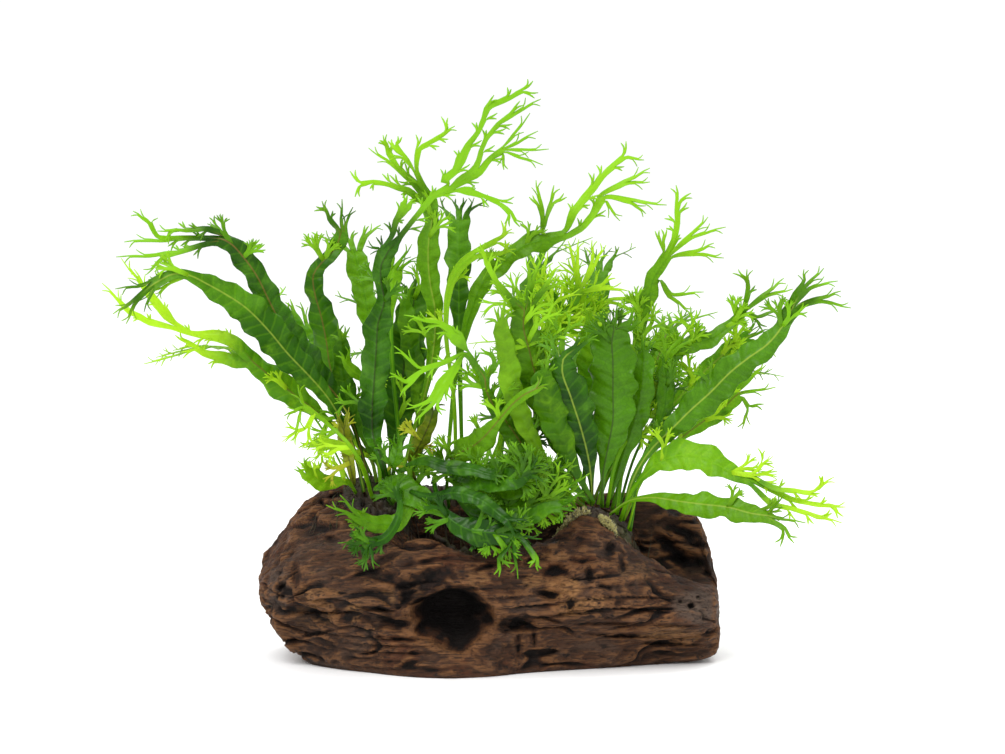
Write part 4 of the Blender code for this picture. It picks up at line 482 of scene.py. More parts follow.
def noise(points: Array, size: Sequence[float], seed: int = 0) -> Array:
    """Soft lumps from 0 to 1: lattice numbers blended over each cell with smooth weights.

    Args:
        points: places in mm, three numbers each.
        size: the lumps' size along each axis in mm.
        seed: which set of lumps.

    Returns:
        One value to a place.
    """
    at = points / np.asarray(size, float)
    cell = np.floor(at).astype(np.int64)
    part = at - cell
    part = part * part * (3 - 2 * part)
    total = np.zeros(at.shape[:-1])
    for corner in product((0, 1), repeat=3):
        weight = np.prod(np.where(np.array(corner), part, 1 - part), axis=-1)
        total += weight * lattice(cell + np.array(corner), seed)
    return total


def layered(points: Array, size: Sequence[float], layers: int, seed: int = 0) -> Array:
    """Noise of several sizes added, each half as large and half as strong as the one before, from 0 to 1."""
    total, strength = np.zeros(points.shape[:-1]), 0.0
    for i in range(layers):
        total += noise(points, np.asarray(size, float) / 2 ** i, seed + 17 * i) / 2 ** i
        strength += 1 / 2 ** i
    return total / strength


def ridges(points: Array, size: Sequence[float], layers: int, seed: int = 0) -> Array:
    """Sharp crests: one less twice the distance of layered noise from its middle, from 0 to 1."""
    return 1 - np.abs(2 * layered(points, size, layers, seed) - 1)


def through(points: Array, at: Array) -> Array:
    """A smooth curve (Catmull-Rom) through rows of points, read at fractional row numbers.

    Args:
        points: rows of points, of any shape after the first axis.
        at: the row numbers.

    Returns:
        One entry to a row number.
    """
    points = np.asarray(points, float)
    last = len(points) - 1
    i = np.clip(np.floor(at).astype(int), 0, last - 1)
    t = (at - i).reshape(np.shape(at) + (1,) * (points.ndim - 1))
    a, b = points[np.clip(i - 1, 0, last)], points[i]
    c, d = points[i + 1], points[np.clip(i + 2, 0, last)]
    return b + 0.5 * t * (c - a + t * (2 * a - 5 * b + 4 * c - d + t * (3 * (b - c) + d - a)))


def grid_faces(rows: int, across: int, start: int = 0, closed: bool = False) -> Array:
    """The quads of a grid of points.

    Args:
        rows: points along.
        across: points across.
        start: the number of its first point.
        closed: whether the last column joins the first.

    Returns:
        Four point numbers to a quad.
    """
    r = np.arange(rows - 1)[:, None] * across
    c = np.arange(across if closed else across - 1)[None, :]
    after = (c + 1) % across
    return (np.stack([r + c, r + after, r + across + after, r + across + c], axis=-1) + start).reshape(-1, 4)


def end_fans(rows: int, across: int) -> Array:
    """Faces that close a ringed grid at both ends, each to a middle point that follows the grid's own points.

    Args:
        rows: rings.
        across: points in a ring.

    Returns:
        The faces of both fans.
    """
    ring, last = np.arange(across), (rows - 1) * across
    after = (ring + 1) % across
    first, final = ring * 0 + rows * across, ring * 0 + rows * across + 1
    return np.concatenate([np.stack([first, after, ring, ring], axis=1),
                           np.stack([final, last + ring, last + after, last + after], axis=1)])


def tubes(paths: Array, radii: Array, sides: int) -> tuple[Array, Array]:
    """Round strands: a circle carried along each path, square to it, with a point at both ends.

    Args:
        paths: places in mm, strands by steps by three.
        radii: half thickness in mm, strands by steps.
        sides: corners of the circle.

    Returns:
        The points and the quads, of which those at the ends are drawn together.
    """
    count, steps, _ = paths.shape
    along = unit(np.gradient(paths, axis=1))
    lean = np.where(np.abs(along[..., 2:3]) > 0.8, [[[1.0, 0.0, 0.0]]], [[[0.0, 0.0, 1.0]]])
    one = unit(np.cross(along, lean))
    two = np.cross(along, one)
    turn = 2 * np.pi * np.arange(sides) / sides
    ring = one[:, :, None] * np.cos(turn)[:, None] + two[:, :, None] * np.sin(turn)[:, None]
    points = paths[:, :, None] + ring * radii[:, :, None, None]
    faces = grid_faces(steps, sides, closed=True)
    starts = np.arange(count)[:, None, None] * steps * sides
    return points.reshape(-1, 3), (faces[None] + starts).reshape(-1, 4)


@dataclass
class Sheet:
    """Points, faces and what goes on them, gathered into one mesh."""

    points: list[Array] = field(default_factory=list)
    quads: list[Array] = field(default_factory=list)
    maps: dict[str, list[Array]] = field(default_factory=dict)
    weights: list[Array] = field(default_factory=list)
    count: int = 0

    def add(self, points: Array, quads: Array, maps: dict[str, Array], weight: Array | None = None) -> None:
        """Adds a patch.

        Args:
            points: places in mm.
            quads: four point numbers to a face, counted from 0.
            maps: pairs of numbers to a point, by the map's name.
            weight: a number to a point, for the group "thick".
        """
        self.points.append(points)
        self.quads.append(quads + self.count)
        for name, values in maps.items():
            self.maps.setdefault(name, []).append(values)
        if weight is not None:
            self.weights.append(weight)
        self.count += len(points)

    def build(self, name: str, weld: float = 0.0) -> bpy.types.Object:
        """Makes the piece.

        Args:
            name: the piece's name.
            weld: points that agree to within this many mm become one.

        Returns:
            The new object, at the origin.
        """
        points, quads = np.concatenate(self.points), np.concatenate(self.quads)
        maps = {key: np.concatenate(values) for key, values in self.maps.items()}
        weights = np.concatenate(self.weights) if self.weights else None
        if weld > 0:
            _, first, back = np.unique(np.round(points / weld), axis=0, return_index=True, return_inverse=True)
            points, quads = points[first], back.reshape(-1)[quads]
            maps = {key: values[first] for key, values in maps.items()}
            weights = weights[first] if weights is not None else None
            same = (quads == np.roll(quads, 1, axis=1)).sum(axis=1)
            quads = quads[same < 2]
        return solid(name, points, quads, maps, weights)


def solid(name: str, points: Array, quads: Array, maps: dict[str, Array], weights: Array | None) -> bpy.types.Object:
    """Puts whole arrays into a new mesh object.

    Args:
        name: the piece's name.
        points: places in mm.
        quads: four point numbers to a face; a face may name one point twice.
        maps: pairs of numbers to a point, each kept as a UV map.
        weights: a number to a point for the group "thick", or None.

    Returns:
        The new object, smooth, linked to the scene.
    """
    keep = quads != np.roll(quads, 1, axis=1)
    corners, sizes = quads[keep], keep.sum(axis=1)
    mesh = bpy.data.meshes.new(name)
    mesh.vertices.add(len(points))
    mesh.vertices.foreach_set("co", (points * MM).astype(np.float32).ravel())
    mesh.loops.add(len(corners))
    mesh.loops.foreach_set("vertex_index", corners.astype(np.int32))
    mesh.polygons.add(len(sizes))
    mesh.polygons.foreach_set("loop_start", np.concatenate([[0], np.cumsum(sizes)[:-1]]).astype(np.int32))
    mesh.polygons.foreach_set("use_smooth", np.ones(len(sizes), bool))
    for key, values in maps.items():
        layer = mesh.uv_layers.new(name=key)
        layer.data.foreach_set("uv", values[corners].astype(np.float32).ravel())
    mesh.update(calc_edges=True)
    piece = bpy.data.objects.new(name, mesh)
    bpy.context.collection.objects.link(piece)
    if weights is not None:
        group = piece.vertex_groups.new(name="thick")
        steps = np.clip(np.round(weights * 40), 0, 40).astype(int)
        for step in np.unique(steps):
            group.add(np.flatnonzero(steps == step).tolist(), step / 40, "REPLACE")
    return piece


@dataclass(frozen=True)
class FrontLook:
    """The line of sight of the photograph: eye, middle of the view and lens."""

    eye: tuple[float, float, float] = (6.25, -1800.0, 357.6)
    aim: tuple[float, float, float] = (6.25, 0.0, 143.0)
    view_width: float = 502.5
    sensor: float = 36.0

    def axes(self) -> tuple[Array, Array, Array, float]:
        """The view's ahead, right and up directions, and the distance to its middle."""
        way = np.array(self.aim) - np.array(self.eye)
        ahead = way / np.linalg.norm(way)
        right = np.array([1.0, 0.0, 0.0])
        return ahead, right, np.cross(right, ahead), float(np.linalg.norm(way))

    def seen(self, places: Array, depths: Array) -> Array:
        """Points in space from places in the front look and depths: each on its ray, where it meets its depth.

        Args:
            places: right and up in mm.
            depths: the y of each point in mm.

        Returns:
            The points in mm.
        """
        ahead, right, up, reach = self.axes()
        eye, aim = np.array(self.eye), np.array(self.aim)
        rays = ahead * reach + np.outer(places[:, 0] - aim[0], right) + np.outer(places[:, 1] - aim[2], up)
        return eye + rays * ((np.asarray(depths, float) - eye[1]) / rays[:, 1])[:, None]

    def as_seen(self, points: Array) -> Array:
        """The places in the front look of points in space: the view's plane cut by their rays."""
        ahead, right, up, reach = self.axes()
        away = np.asarray(points, float) - np.array(self.eye)
        far = away @ ahead
        flat = np.stack([away @ right, away @ up], axis=-1) / far[..., None] * reach
        return flat + np.array([self.aim[0], self.aim[2]])

    def camera(self) -> bpy.types.Object:
        """Makes the camera of the photograph's view and sets it as the scene's."""
        data = bpy.data.cameras.new("front_camera")
        data.sensor_width = self.sensor
        data.lens = self.sensor * self.axes()[3] / self.view_width
        data.clip_end = 50.0
        camera = bpy.data.objects.new("front_camera", data)
        ahead, right, up, _ = self.axes()
        turn = np.eye(4)
        turn[:3, 0], turn[:3, 1], turn[:3, 2] = right, up, -ahead
        turn[:3, 3] = np.array(self.eye) * MM
        camera.matrix_world = Matrix(turn.tolist())
        bpy.context.collection.objects.link(camera)
        bpy.context.scene.camera = camera
        return camera


LOOK = FrontLook()


Socket = Any
Colour = tuple[float, float, float]


class Recipe:
    """A material being put together: shorthand for its nodes and links."""

    def __init__(self, name: str) -> None:
        """Starts an empty material.

        Args:
            name: the material's name.
        """
        self.material = bpy.data.materials.new(name)
        self.material.use_nodes = True
        self.tree = self.material.node_tree
        self.tree.nodes.clear()

    def node(self, kind: str, inputs: dict[Any, Any], **settings: Any) -> bpy.types.Node:
        """Adds a node.

        Args:
            kind: the node's type without "ShaderNode".
            inputs: by socket name or number: a socket to link, or a value to set.
            settings: the node's own properties.

        Returns:
            The node.
        """
        node = self.tree.nodes.new("ShaderNode" + kind)
        for key, value in settings.items():
            setattr(node, key, value)
        for key, value in inputs.items():
            if isinstance(value, bpy.types.NodeSocket):
                self.tree.links.new(value, node.inputs[key])
            else:
                node.inputs[key].default_value = value
        return node

    def place(self, scale: Colour, turn: Colour = (0.0, 0.0, 0.0)) -> Socket:
        """Object coordinates, stretched and turned."""
        coordinates = self.node("TexCoord", {}).outputs["Object"]
        return self.node("Mapping", {"Vector": coordinates, "Scale": scale, "Rotation": turn}).outputs["Vector"]

    def sheet(self, name: str) -> tuple[Socket, Socket]:
        """The two numbers that a UV map of the piece holds."""
        parts = self.node("SeparateXYZ", {"Vector": self.node("UVMap", {}, uv_map=name).outputs["UV"]})
        return parts.outputs["X"], parts.outputs["Y"]

    def lumps(self, place: Socket, scale: float, detail: float = 3.0, rough: float = 0.55,
              swirl: float = 0.0) -> Socket:
        """Noise at a place."""
        inputs = {"Vector": place, "Scale": scale, "Detail": detail, "Roughness": rough, "Distortion": swirl}
        return self.node("TexNoise", inputs).outputs[0]

    def cells(self, place: Socket, scale: float, feature: str = "DISTANCE_TO_EDGE") -> Socket:
        """Voronoi distance at a place."""
        return self.node("TexVoronoi", {"Vector": place, "Scale": scale}, feature=feature).outputs["Distance"]

    def reckon(self, sign: str, one: Any, two: Any = 0.0, three: Any = 0.0) -> Socket:
        """One sum of two or three numbers."""
        return self.node("Math", {0: one, 1: two, 2: three}, operation=sign).outputs[0]

    def fade(self, value: Socket, low: float, high: float, start: float = 0.0, end: float = 1.0) -> Socket:
        """A smooth change from start to end while the value goes from low to high."""
        inputs = {"Value": value, "From Min": low, "From Max": high, "To Min": start, "To Max": end}
        return self.node("MapRange", inputs, interpolation_type="SMOOTHSTEP").outputs[0]

    def ramp(self, value: Socket, stops: Sequence[tuple[float, Colour]]) -> Socket:
        """Colours by value.

        Args:
            value: from 0 to 1.
            stops: places with their colours.

        Returns:
            The colour.
        """
        node = self.node("ValToRGB", {"Fac": value})
        band = node.color_ramp.elements
        for _ in stops[2:]:
            band.new(0.5)
        for i, (where, colour) in enumerate(stops):
            band[i].position = where
            band[i].color = (*colour, 1.0)
        return node.outputs["Color"]

    def blend(self, share: Any, one: Any, two: Any, way: str = "MIX") -> Socket:
        """Two colours mixed by a share."""
        node = self.node("Mix", {}, data_type="RGBA", blend_type=way)
        for number, value in ((0, share), (6, one), (7, two)):
            if isinstance(value, bpy.types.NodeSocket):
                self.tree.links.new(value, node.inputs[number])
            else:
                node.inputs[number].default_value = value if number == 0 else (*value, 1.0)
        return node.outputs[2]

    def bump(self, height: Socket, depth: float, strength: float = 1.0, after: Socket | None = None) -> Socket:
        """A bumped normal: heights from 0 to 1 over a depth in mm."""
        inputs: dict[str, Any] = {"Height": height, "Distance": depth * MM, "Strength": strength}
        if after is not None:
            inputs["Normal"] = after
        return self.node("Bump", inputs).outputs["Normal"]

    def finish(self, surface: Socket) -> bpy.types.Material:
        """Joins the surface to the output."""
        self.node("OutputMaterial", {"Surface": surface})
        return self.material


@dataclass(frozen=True)
class WoodFinish:
    """Sunken driftwood: red-brown with long dark fibres, tan patches, worn crests lightened further with a painted
    highlight, and painted black shade in its hollows and crevices.
    """

    # black of the specks, and of the painted shade in crevices, the cave, the pits and the trough
    speck_and_shade_black: Colour = (0.0035, 0.0018, 0.0012)
    dark: Colour = (0.017, 0.0075, 0.0036)
    middle: Colour = (0.062, 0.0235, 0.0085)
    red: Colour = (0.105, 0.030, 0.009)
    light: Colour = (0.205, 0.088, 0.030)
    tan: Colour = (0.34, 0.165, 0.058)
    ash: Colour = (0.105, 0.075, 0.056)
    roughness: float = 0.66

    def material(self) -> bpy.types.Material:
        """Fibres run along the log; the map "relief" holds painted shade for what lies low and for the cave, pits and
        trough, and a painted highlight for crests, and "stain" holds tan and grey patches.

        Returns:
            The material.
        """
        make = Recipe("driftwood")
        height, shade = make.sheet("relief")
        tan, grey = make.sheet("stain")
        fibre = make.lumps(make.place((14, 190, 190)), 1.0, 10.0, 0.68, 0.6)
        strand = make.lumps(make.place((50, 900, 900)), 1.0, 6.0, 0.65, 0.4)
        patch = make.lumps(make.place((26, 38, 38)), 1.0, 5.0, 0.6, 1.0)
        speck = make.lumps(make.place((260, 420, 420)), 1.0, 4.0, 0.6, 0.4)
        grain = make.lumps(make.place((900, 1600, 1600)), 1.0, 2.0)
        wood = make.ramp(fibre, ((0.34, self.dark), (0.46, self.middle), (0.55, self.middle), (0.72, self.light)))
        red = make.blend(make.fade(patch, 0.5, 0.3, 0.0, 0.65), wood, self.red)
        worn = make.blend(make.fade(patch, 0.52, 0.75, 0.0, 0.4), red, self.ash)
        tanned = make.blend(make.reckon("MULTIPLY", tan, make.fade(speck, 0.3, 0.6)), worn, self.tan)
        greyed = make.blend(make.reckon("MULTIPLY", grey, 0.85), tanned, self.ash)
        damp = make.fade(make.lumps(make.place((13, 24, 24)), 1.0, 4.0, 0.6, 0.6), 0.52, 0.34, 0.0, 0.72)
        greyed = make.blend(damp, greyed, self.dark)
        # painted highlight: convex crests turn lighter, on top of their wear
        crest = make.blend(make.fade(height, 0.56, 1.0, 0.0, 0.75), greyed, self.light)
        # painted shade: crevices and small hollows turn near black
        crevice_painted_shade = make.blend(make.fade(height, 0.46, 0.08, 0.0, 0.97), crest, self.speck_and_shade_black)
        lined = make.blend(make.fade(strand, 0.53, 0.36, 0.0, 0.85), crevice_painted_shade, self.dark)
        flecked = make.blend(make.fade(speck, 0.42, 0.3, 0.0, 0.85), lined, self.speck_and_shade_black)
        # painted shade: the cave, the pits and the trough on top turn black
        with_painted_shade = make.blend(shade, flecked, self.speck_and_shade_black)
        rough = make.fade(fibre, 0.2, 0.8, self.roughness + 0.14, self.roughness - 0.2)
        normal = make.bump(fibre, 3.0, 1.0)
        normal = make.bump(strand, 1.3, 1.0, normal)
        normal = make.bump(speck, 0.9, 0.8, normal)
        normal = make.bump(grain, 0.15, 0.5, normal)
        shader = make.node("BsdfPrincipled", {"Base Color": with_painted_shade, "Roughness": rough, "Normal": normal,
                                              "Specular IOR Level": 0.25})
        return make.finish(shader.outputs[0])


@dataclass(frozen=True)
class LeafFinish:
    """A water fern's blade: glossy green with side veins, a plain or coloured midrib and pale lobes."""

    name: str
    deep: Colour
    middle: Colour
    fresh: Colour
    tip: Colour
    brown: float = 0.0
    # how much of the painted grey-green sheen the blade gets
    painted_sheen_share: float = 0.2
    through: float = 0.3
    roughness: float = 0.34

    def material(self) -> bpy.types.Material:
        """The maps "blade" (along, across), "growth" (tip share, shade) and "rib" (rib colour, width) guide it.

        Returns:
            The material.
        """
        make = Recipe("leaf_" + self.name)
        along, across = make.sheet("blade")
        tip, shade = make.sheet("growth")
        rib, width = make.sheet("rib")
        aside = make.reckon("ABSOLUTE", make.reckon("MULTIPLY_ADD", across, 50.0, -25.0))
        drift = make.lumps(make.place((95, 95, 95)), 1.0, 4.0, 0.6, 0.4)
        wide = make.lumps(make.place((34, 34, 34)), 1.0, 3.0, 0.5)
        step = make.reckon("MULTIPLY_ADD", along, 100.0 / 6.2, make.reckon("MULTIPLY", aside, -0.085))
        swing = make.reckon("COSINE", make.reckon("MULTIPLY_ADD", step, 6.2832, make.reckon("MULTIPLY", drift, 3.0)))
        broad = make.fade(width, 0.15, 0.45)
        vein = make.reckon("MULTIPLY", make.fade(swing, 0.72, 1.0), broad)
        mesh = make.node("CombineXYZ", {"X": make.reckon("MULTIPLY", along, 100.0),
                                        "Y": make.reckon("MULTIPLY", across, 50.0)}).outputs[0]
        net = make.cells(mesh, 0.42)
        blade = make.blend(make.fade(wide, 0.35, 0.68), self.deep, self.middle)
        lifted = make.blend(make.fade(shade, 0.3, 1.0, 0.0, 0.55), blade, self.fresh)
        spotted = make.blend(make.fade(drift, 0.5, 0.8, 0.0, 0.5), lifted, self.fresh)
        veined = make.blend(make.reckon("MULTIPLY", vein, 0.16), spotted, self.fresh)
        netted = make.blend(make.fade(net, 0.10, 0.0, 0.0, 0.22), veined, self.deep)
        # painted sheen: grey-green patches where the white surroundings would reflect off the gloss
        painted_sheen = make.blend(make.fade(make.reckon("ADD", wide, make.reckon("MULTIPLY", drift, 0.4)), 0.72, 0.95, 0.0,
                                     self.painted_sheen_share), netted, (0.20, 0.36, 0.10))
        paling = make.reckon("ADD", tip, make.reckon("MULTIPLY_ADD", drift, 0.5, -0.25))
        young = make.blend(make.fade(paling, 0.25, 1.0), painted_sheen, self.tip)
        streak = make.ramp(rib, ((0.2, self.middle), (0.45, (0.34, 0.46, 0.05)), (0.7, (0.24, 0.13, 0.03)),
                                 (0.92, (0.03, 0.03, 0.012))))
        band = make.reckon("MULTIPLY", make.fade(aside, 0.6, 0.15), make.fade(tip, 0.3, 0.0, 0.0, 0.6))
        ribbed = make.blend(band, young, streak)
        spots = make.reckon("MULTIPLY", make.fade(make.lumps(make.place((420, 420, 420)), 1.0, 3.0), 0.56, 0.68),
                            make.fade(wide, 0.42, 0.62))
        aged = make.blend(make.reckon("MULTIPLY", spots, self.brown), ribbed, (0.10, 0.045, 0.012))
        rough = make.fade(drift, 0.25, 0.75, self.roughness - 0.1, self.roughness + 0.16)
        quilt = make.reckon("MULTIPLY_ADD", make.reckon("MULTIPLY", swing, broad), -0.5, 0.5)
        normal = make.bump(quilt, 0.55, 0.65)
        normal = make.bump(drift, 0.9, 0.5, normal)
        normal = make.bump(net, 0.12, 0.35, normal)
        shader = make.node("BsdfPrincipled", {"Base Color": aged, "Roughness": rough, "Normal": normal,
                                              "Specular IOR Level": 0.16})
        glow = make.node("BsdfTranslucent", {"Color": aged, "Normal": normal})
        both = make.node("MixShader", {0: self.through, 1: shader.outputs[0], 2: glow.outputs[0]})
        return make.finish(both.outputs[0])


@dataclass(frozen=True)
class RootFinish:
    """Rhizome and roots: near black brown with olive where young."""

    name: str
    dark: Colour = (0.008, 0.005, 0.003)
    light: Colour = (0.06, 0.036, 0.015)
    young: Colour = (0.075, 0.10, 0.022)
    greenness: float = 0.35

    def material(self) -> bpy.types.Material:
        """Mottled by two sizes of noise, with a fine fibrous bump."""
        make = Recipe("root_" + self.name)
        mottle = make.lumps(make.place((160, 160, 160)), 1.0, 5.0, 0.6)
        fine = make.lumps(make.place((900, 900, 900)), 1.0, 3.0)
        bark = make.ramp(mottle, ((0.3, self.dark), (0.75, self.light)))
        green = make.blend(make.fade(make.lumps(make.place((55, 55, 55)), 1.0), 0.45, 0.7, 0.0, self.greenness), bark,
                           self.young)
        shader = make.node("BsdfPrincipled", {"Base Color": green, "Roughness": make.fade(fine, 0.2, 0.8, 0.4, 0.7),
                                              "Normal": make.bump(fine, 0.3, 0.8), "Specular IOR Level": 0.4})
        return make.finish(shader.outputs[0])


@dataclass(frozen=True)
class MossFinish:
    """Dry yellow-olive moss with brown at its foot."""

    foot: Colour = (0.07, 0.05, 0.015)
    middle: Colour = (0.24, 0.20, 0.05)
    top: Colour = (0.46, 0.42, 0.13)

    def material(self) -> bpy.types.Material:
        """Colour by height on each leaflet, kept in the map "growth", and by noise."""
        make = Recipe("moss")
        height, _ = make.sheet("growth")
        mottle = make.lumps(make.place((300, 300, 300)), 1.0, 4.0)
        share = make.reckon("MULTIPLY_ADD", height, 0.65, make.reckon("MULTIPLY", mottle, 0.4))
        colour = make.ramp(share, ((0.1, self.foot), (0.45, self.middle), (0.85, self.top)))
        shader = make.node("BsdfPrincipled", {"Base Color": colour, "Roughness": 0.75, "Sheen Weight": 0.3,
                                              "Normal": make.bump(mottle, 0.25, 0.6)})
        return make.finish(shader.outputs[0])


@dataclass(frozen=True)
class FloorFinish:
    """The pale studio floor."""

    colour: Colour = (0.96, 0.96, 0.96)

    def material(self) -> bpy.types.Material:
        """Matt white with the faintest unevenness."""
        make = Recipe("studio_floor")
        soft = make.lumps(make.place((6, 6, 6)), 1.0)
        colour = make.blend(make.fade(soft, 0.3, 0.7), self.colour, (0.97, 0.97, 0.97))
        shader = make.node("BsdfPrincipled", {"Base Color": colour, "Roughness": 0.6, "Specular IOR Level": 0.1})
        return make.finish(shader.outputs[0])


# Besides the fern's own shades of green, the dark tone's deep colours partly paint the shade among the fronds, and the
# bright tone's limes partly paint the glow of light through the leaves.
LEAVES = {
    Tone.DARK: LeafFinish("dark", (0.009, 0.050, 0.001), (0.036, 0.145, 0.001), (0.11, 0.32, 0.003),
                          (0.19, 0.46, 0.006), painted_sheen_share=0.12, through=0.18, roughness=0.26),
    Tone.GREEN: LeafFinish("green", (0.026, 0.115, 0.001), (0.088, 0.27, 0.002), (0.20, 0.47, 0.004),
                           (0.29, 0.60, 0.012), painted_sheen_share=0.12, through=0.34),
    Tone.BRIGHT: LeafFinish("bright", (0.085, 0.28, 0.005), (0.21, 0.48, 0.007), (0.35, 0.63, 0.010),
                            (0.46, 0.74, 0.020), painted_sheen_share=0.05, through=0.4),
    Tone.OLD: LeafFinish("old", (0.05, 0.12, 0.006), (0.20, 0.27, 0.010), (0.42, 0.43, 0.02), (0.42, 0.48, 0.02),
                         brown=0.9, painted_sheen_share=0.1, through=0.3),
}


@dataclass
class Driftwood:
    """The log: a hollow, split length of sunken wood that lies flat, with a cave in front and a trough on top."""

    sections: Sequence[Sequence[float]] = LOG_SECTIONS
    undercut: float = 2.5
    cave_middle: Colour = (-17.5, -50.0, 31.5)
    cave_half: Colour = (22.0, 31.0, 17.5)
    end_bulge: tuple[float, float] = (2.5, 2.0)
    rows: int = 214
    around: int = 372
    cap_rows: int = 8
    lump: float = 2.2
    fibre: float = 1.9
    strip: float = 1.0
    splinter: float = 0.55
    crack: float = 3.4
    terrace: float = 2.6
    chip: float = 4.2
    small_chip: float = 1.6
    end_chip: float = 3.2
    # how strongly small hollows are painted darker and crests painted lighter
    cavity_shading: float = 0.26
    # how black the painted shade in the cave, pits and trough gets
    darkest_painted_shade: float = 0.97
    # the height map's corner, left and in front, and its size in mm
    map_corner: tuple[int, int] = (130, 80)
    map_size: tuple[int, int] = (260, 160)
    # pits as they look from the front: right, up, half width, half height, depth, lean
    pits: Sequence[Sequence[float]] = (
        (-34, 37, 17, 9.5, 9, -0.3), (11.5, 20, 8.5, 4.6, 9, 0), (28, 35, 8, 2.6, 6, 0.3), (33, 46, 6, 3.4, 6, 0),
        (100.5, 28.7, 1.7, 1.5, 4, 0), (95, 30.5, 0.9, 0.9, 2.5, 0), (104, 33, 0.7, 0.7, 2, 0),
        (74.5, 57.5, 5, 1.5, 5, 0.4),
        (84, 27, 7, 0.8, 4, 0), (96, 66, 13, 3, 7, 0.35), (92, 55, 10, 5, 9, 0.9), (103, 50, 9, 4, 8, 0.4),
        (104, 60, 8, 2, 6, 0.2), (60, 56, 2.5, 6, 4, 0), (66, 50, 2.2, 5, 4, 0.3), (46, 52, 6, 2.4, 4, 0),
        (22, 52, 6, 2, 4, -0.4), (50, 44, 2, 5, 4, 0), (57, 38, 5, 1.4, 3, 0.2), (-48, 20, 15, 5, 6, 0.15),
        (-44, 12, 14, 1.3, 4, 0.1), (-56, 27, 9, 1.2, 4, 0.1), (-62, 45, 9, 1.2, 3, -0.3), (-84, 26, 13, 1.1, 3, 0),
        (-86, 15, 10, 1.0, 3, -0.2), (-97, 44, 2, 7, 3, 0.3), (-104, 36, 2, 8, 4, 0.1), (-80, 62, 3, 2, 3, 0),
        (-70, 70, 3, 2, 3, 0.3), (68, 14, 20, 1.2, 4, 0.04), (88, 10, 18, 1.1, 4, 0.05), (60, 20, 14, 1.0, 3, 0),
        (92, 19, 12, 1.2, 3, 0.03), (22, 13, 1.2, 5, 3, 0.3), (14, 10, 1.1, 5, 3, 0.2), (30, 22, 6, 1.2, 3, 0.3),
        (40, 30, 2, 4, 3, 0), (-2, 48, 9, 1.4, 3, -0.3), (-30, 51, 12, 1.6, 3, -0.2), (-52, 52, 6, 2, 3, -0.4),
    )
    # colour patches as they look from the front: right, up, half width, half height, how strong, 0 tan or 1 grey
    patches: Sequence[Sequence[float]] = (
        (36, 37, 10, 6, 0.9, 0), (52, 30, 8, 4, 0.9, 0), (40, 27, 10, 4, 0.7, 0), (22, 41, 6, 4, 0.6, 0),
        (-6, 42, 7, 5, 0.6, 0), (-51, 33, 4, 5, 0.8, 0), (-68, 26, 4.5, 6.5, 0.8, 0), (-88, 24, 12, 8, 0.55, 0),
        (32, 53, 8, 2.5, 0.8, 0), (-86, 35, 12, 3, 0.5, 0), (74, 46, 9, 5, 0.5, 0), (90, 14, 18, 5, 0.5, 0),
        (103, 29, 12, 9.5, 0.9, 1), (-105, 34, 6, 12, 0.75, 1), (60, 58, 9, 6, 0.4, 1), (102, 56, 9, 12, 0.45, 1),
    )

    def outline(self, at: Array, turn: Array) -> Array:
        """The plain form: eighteen points of each cross-section joined by smooth curves, along and around.

        Args:
            at: fractional row numbers of the table.
            turn: fractional point numbers round a cross-section.

        Returns:
            Points in mm, rows by around by three.
        """
        table = np.array(self.sections, float)
        foot, ledge, rim, floor, ridge, back, heel = (table[:, i:i + 2] for i in range(1, 15, 2))
        sag = np.maximum(0.0, (rim[:, 1] + ridge[:, 1]) / 2 - floor[:, 1])[:, None]
        out, down = np.array([self.undercut, 0.0]), np.array([0.0, 1.0])
        ring = np.stack([
            foot, foot + 0.35 * (ledge - foot) + out, foot + 0.75 * (ledge - foot) + out, ledge,
            ledge + 0.33 * (rim - ledge) + (-3, 2), ledge + 0.7 * (rim - ledge) + (-3, 2), rim,
            rim + 0.45 * (floor - rim) - 0.2 * sag * down, floor,
            floor + 0.5 * (ridge - floor) + (2, 0) - 0.25 * sag * down, ridge + (-5, -2), ridge + (5, -1),
            ridge + 0.45 * (back - ridge) + (4, 6), back, back + 0.5 * (heel - back) + (3, 0), heel,
            heel + 0.35 * (foot - heel), heel + 0.7 * (foot - heel)], axis=1)
        xs = through(table[:, :1], at)[:, 0]
        rows = through(ring, at)
        closed = np.concatenate([rows[:, -1:], rows, rows[:, :2]], axis=1)
        curve = through(closed.transpose(1, 0, 2), 1 + turn).transpose(1, 0, 2)
        x = np.broadcast_to(xs[:, None], curve.shape[:2])
        return np.stack([x, curve[..., 0], np.maximum(curve[..., 1], 0.0)], axis=-1)

    def form(self) -> tuple[Array, Array]:
        """The plain form with its two rough ends: each end ring drawn in to its middle over a low dome.

        Returns:
            Points in mm, and how far in from the rim each lies on an end, from 0 to 1.
        """
        at = np.linspace(0, len(self.sections) - 1, self.rows)
        body = self.outline(at, np.arange(self.around) * 18.0 / self.around)
        inward = np.linspace(0, 1, self.cap_rows + 1)[1:, None, None]
        caps = []
        for ring, bulge in ((body[0], -self.end_bulge[0]), (body[-1], self.end_bulge[1])):
            middle = ring.mean(axis=0)
            cap = middle + (ring - middle) * (1 - inward)
            cap[..., 0] = ring[:, 0] + bulge * np.sqrt(np.clip(1 - (1 - inward[..., 0]) ** 2, 0, 1))
            caps.append(cap)
        points = np.concatenate([caps[0][::-1], body, caps[1]])
        rim = np.zeros(len(points))
        rim[:self.cap_rows] = np.linspace(1, 0, self.cap_rows + 1)[:-1]
        rim[-self.cap_rows:] = np.linspace(0, 1, self.cap_rows + 1)[1:]
        return points, np.broadcast_to(rim[:, None], points.shape[:2])

    def normals(self, points: Array) -> Array:
        """Outward directions: the cross product of the grid's two slopes, turned away from the log's middle line."""
        ringed = np.concatenate([points[:, -1:], points, points[:, :1]], axis=1)
        across = (ringed[:, 2:] - ringed[:, :-2])
        along = np.gradient(points, axis=0)
        return unit(np.cross(across, along) + 1e-9)

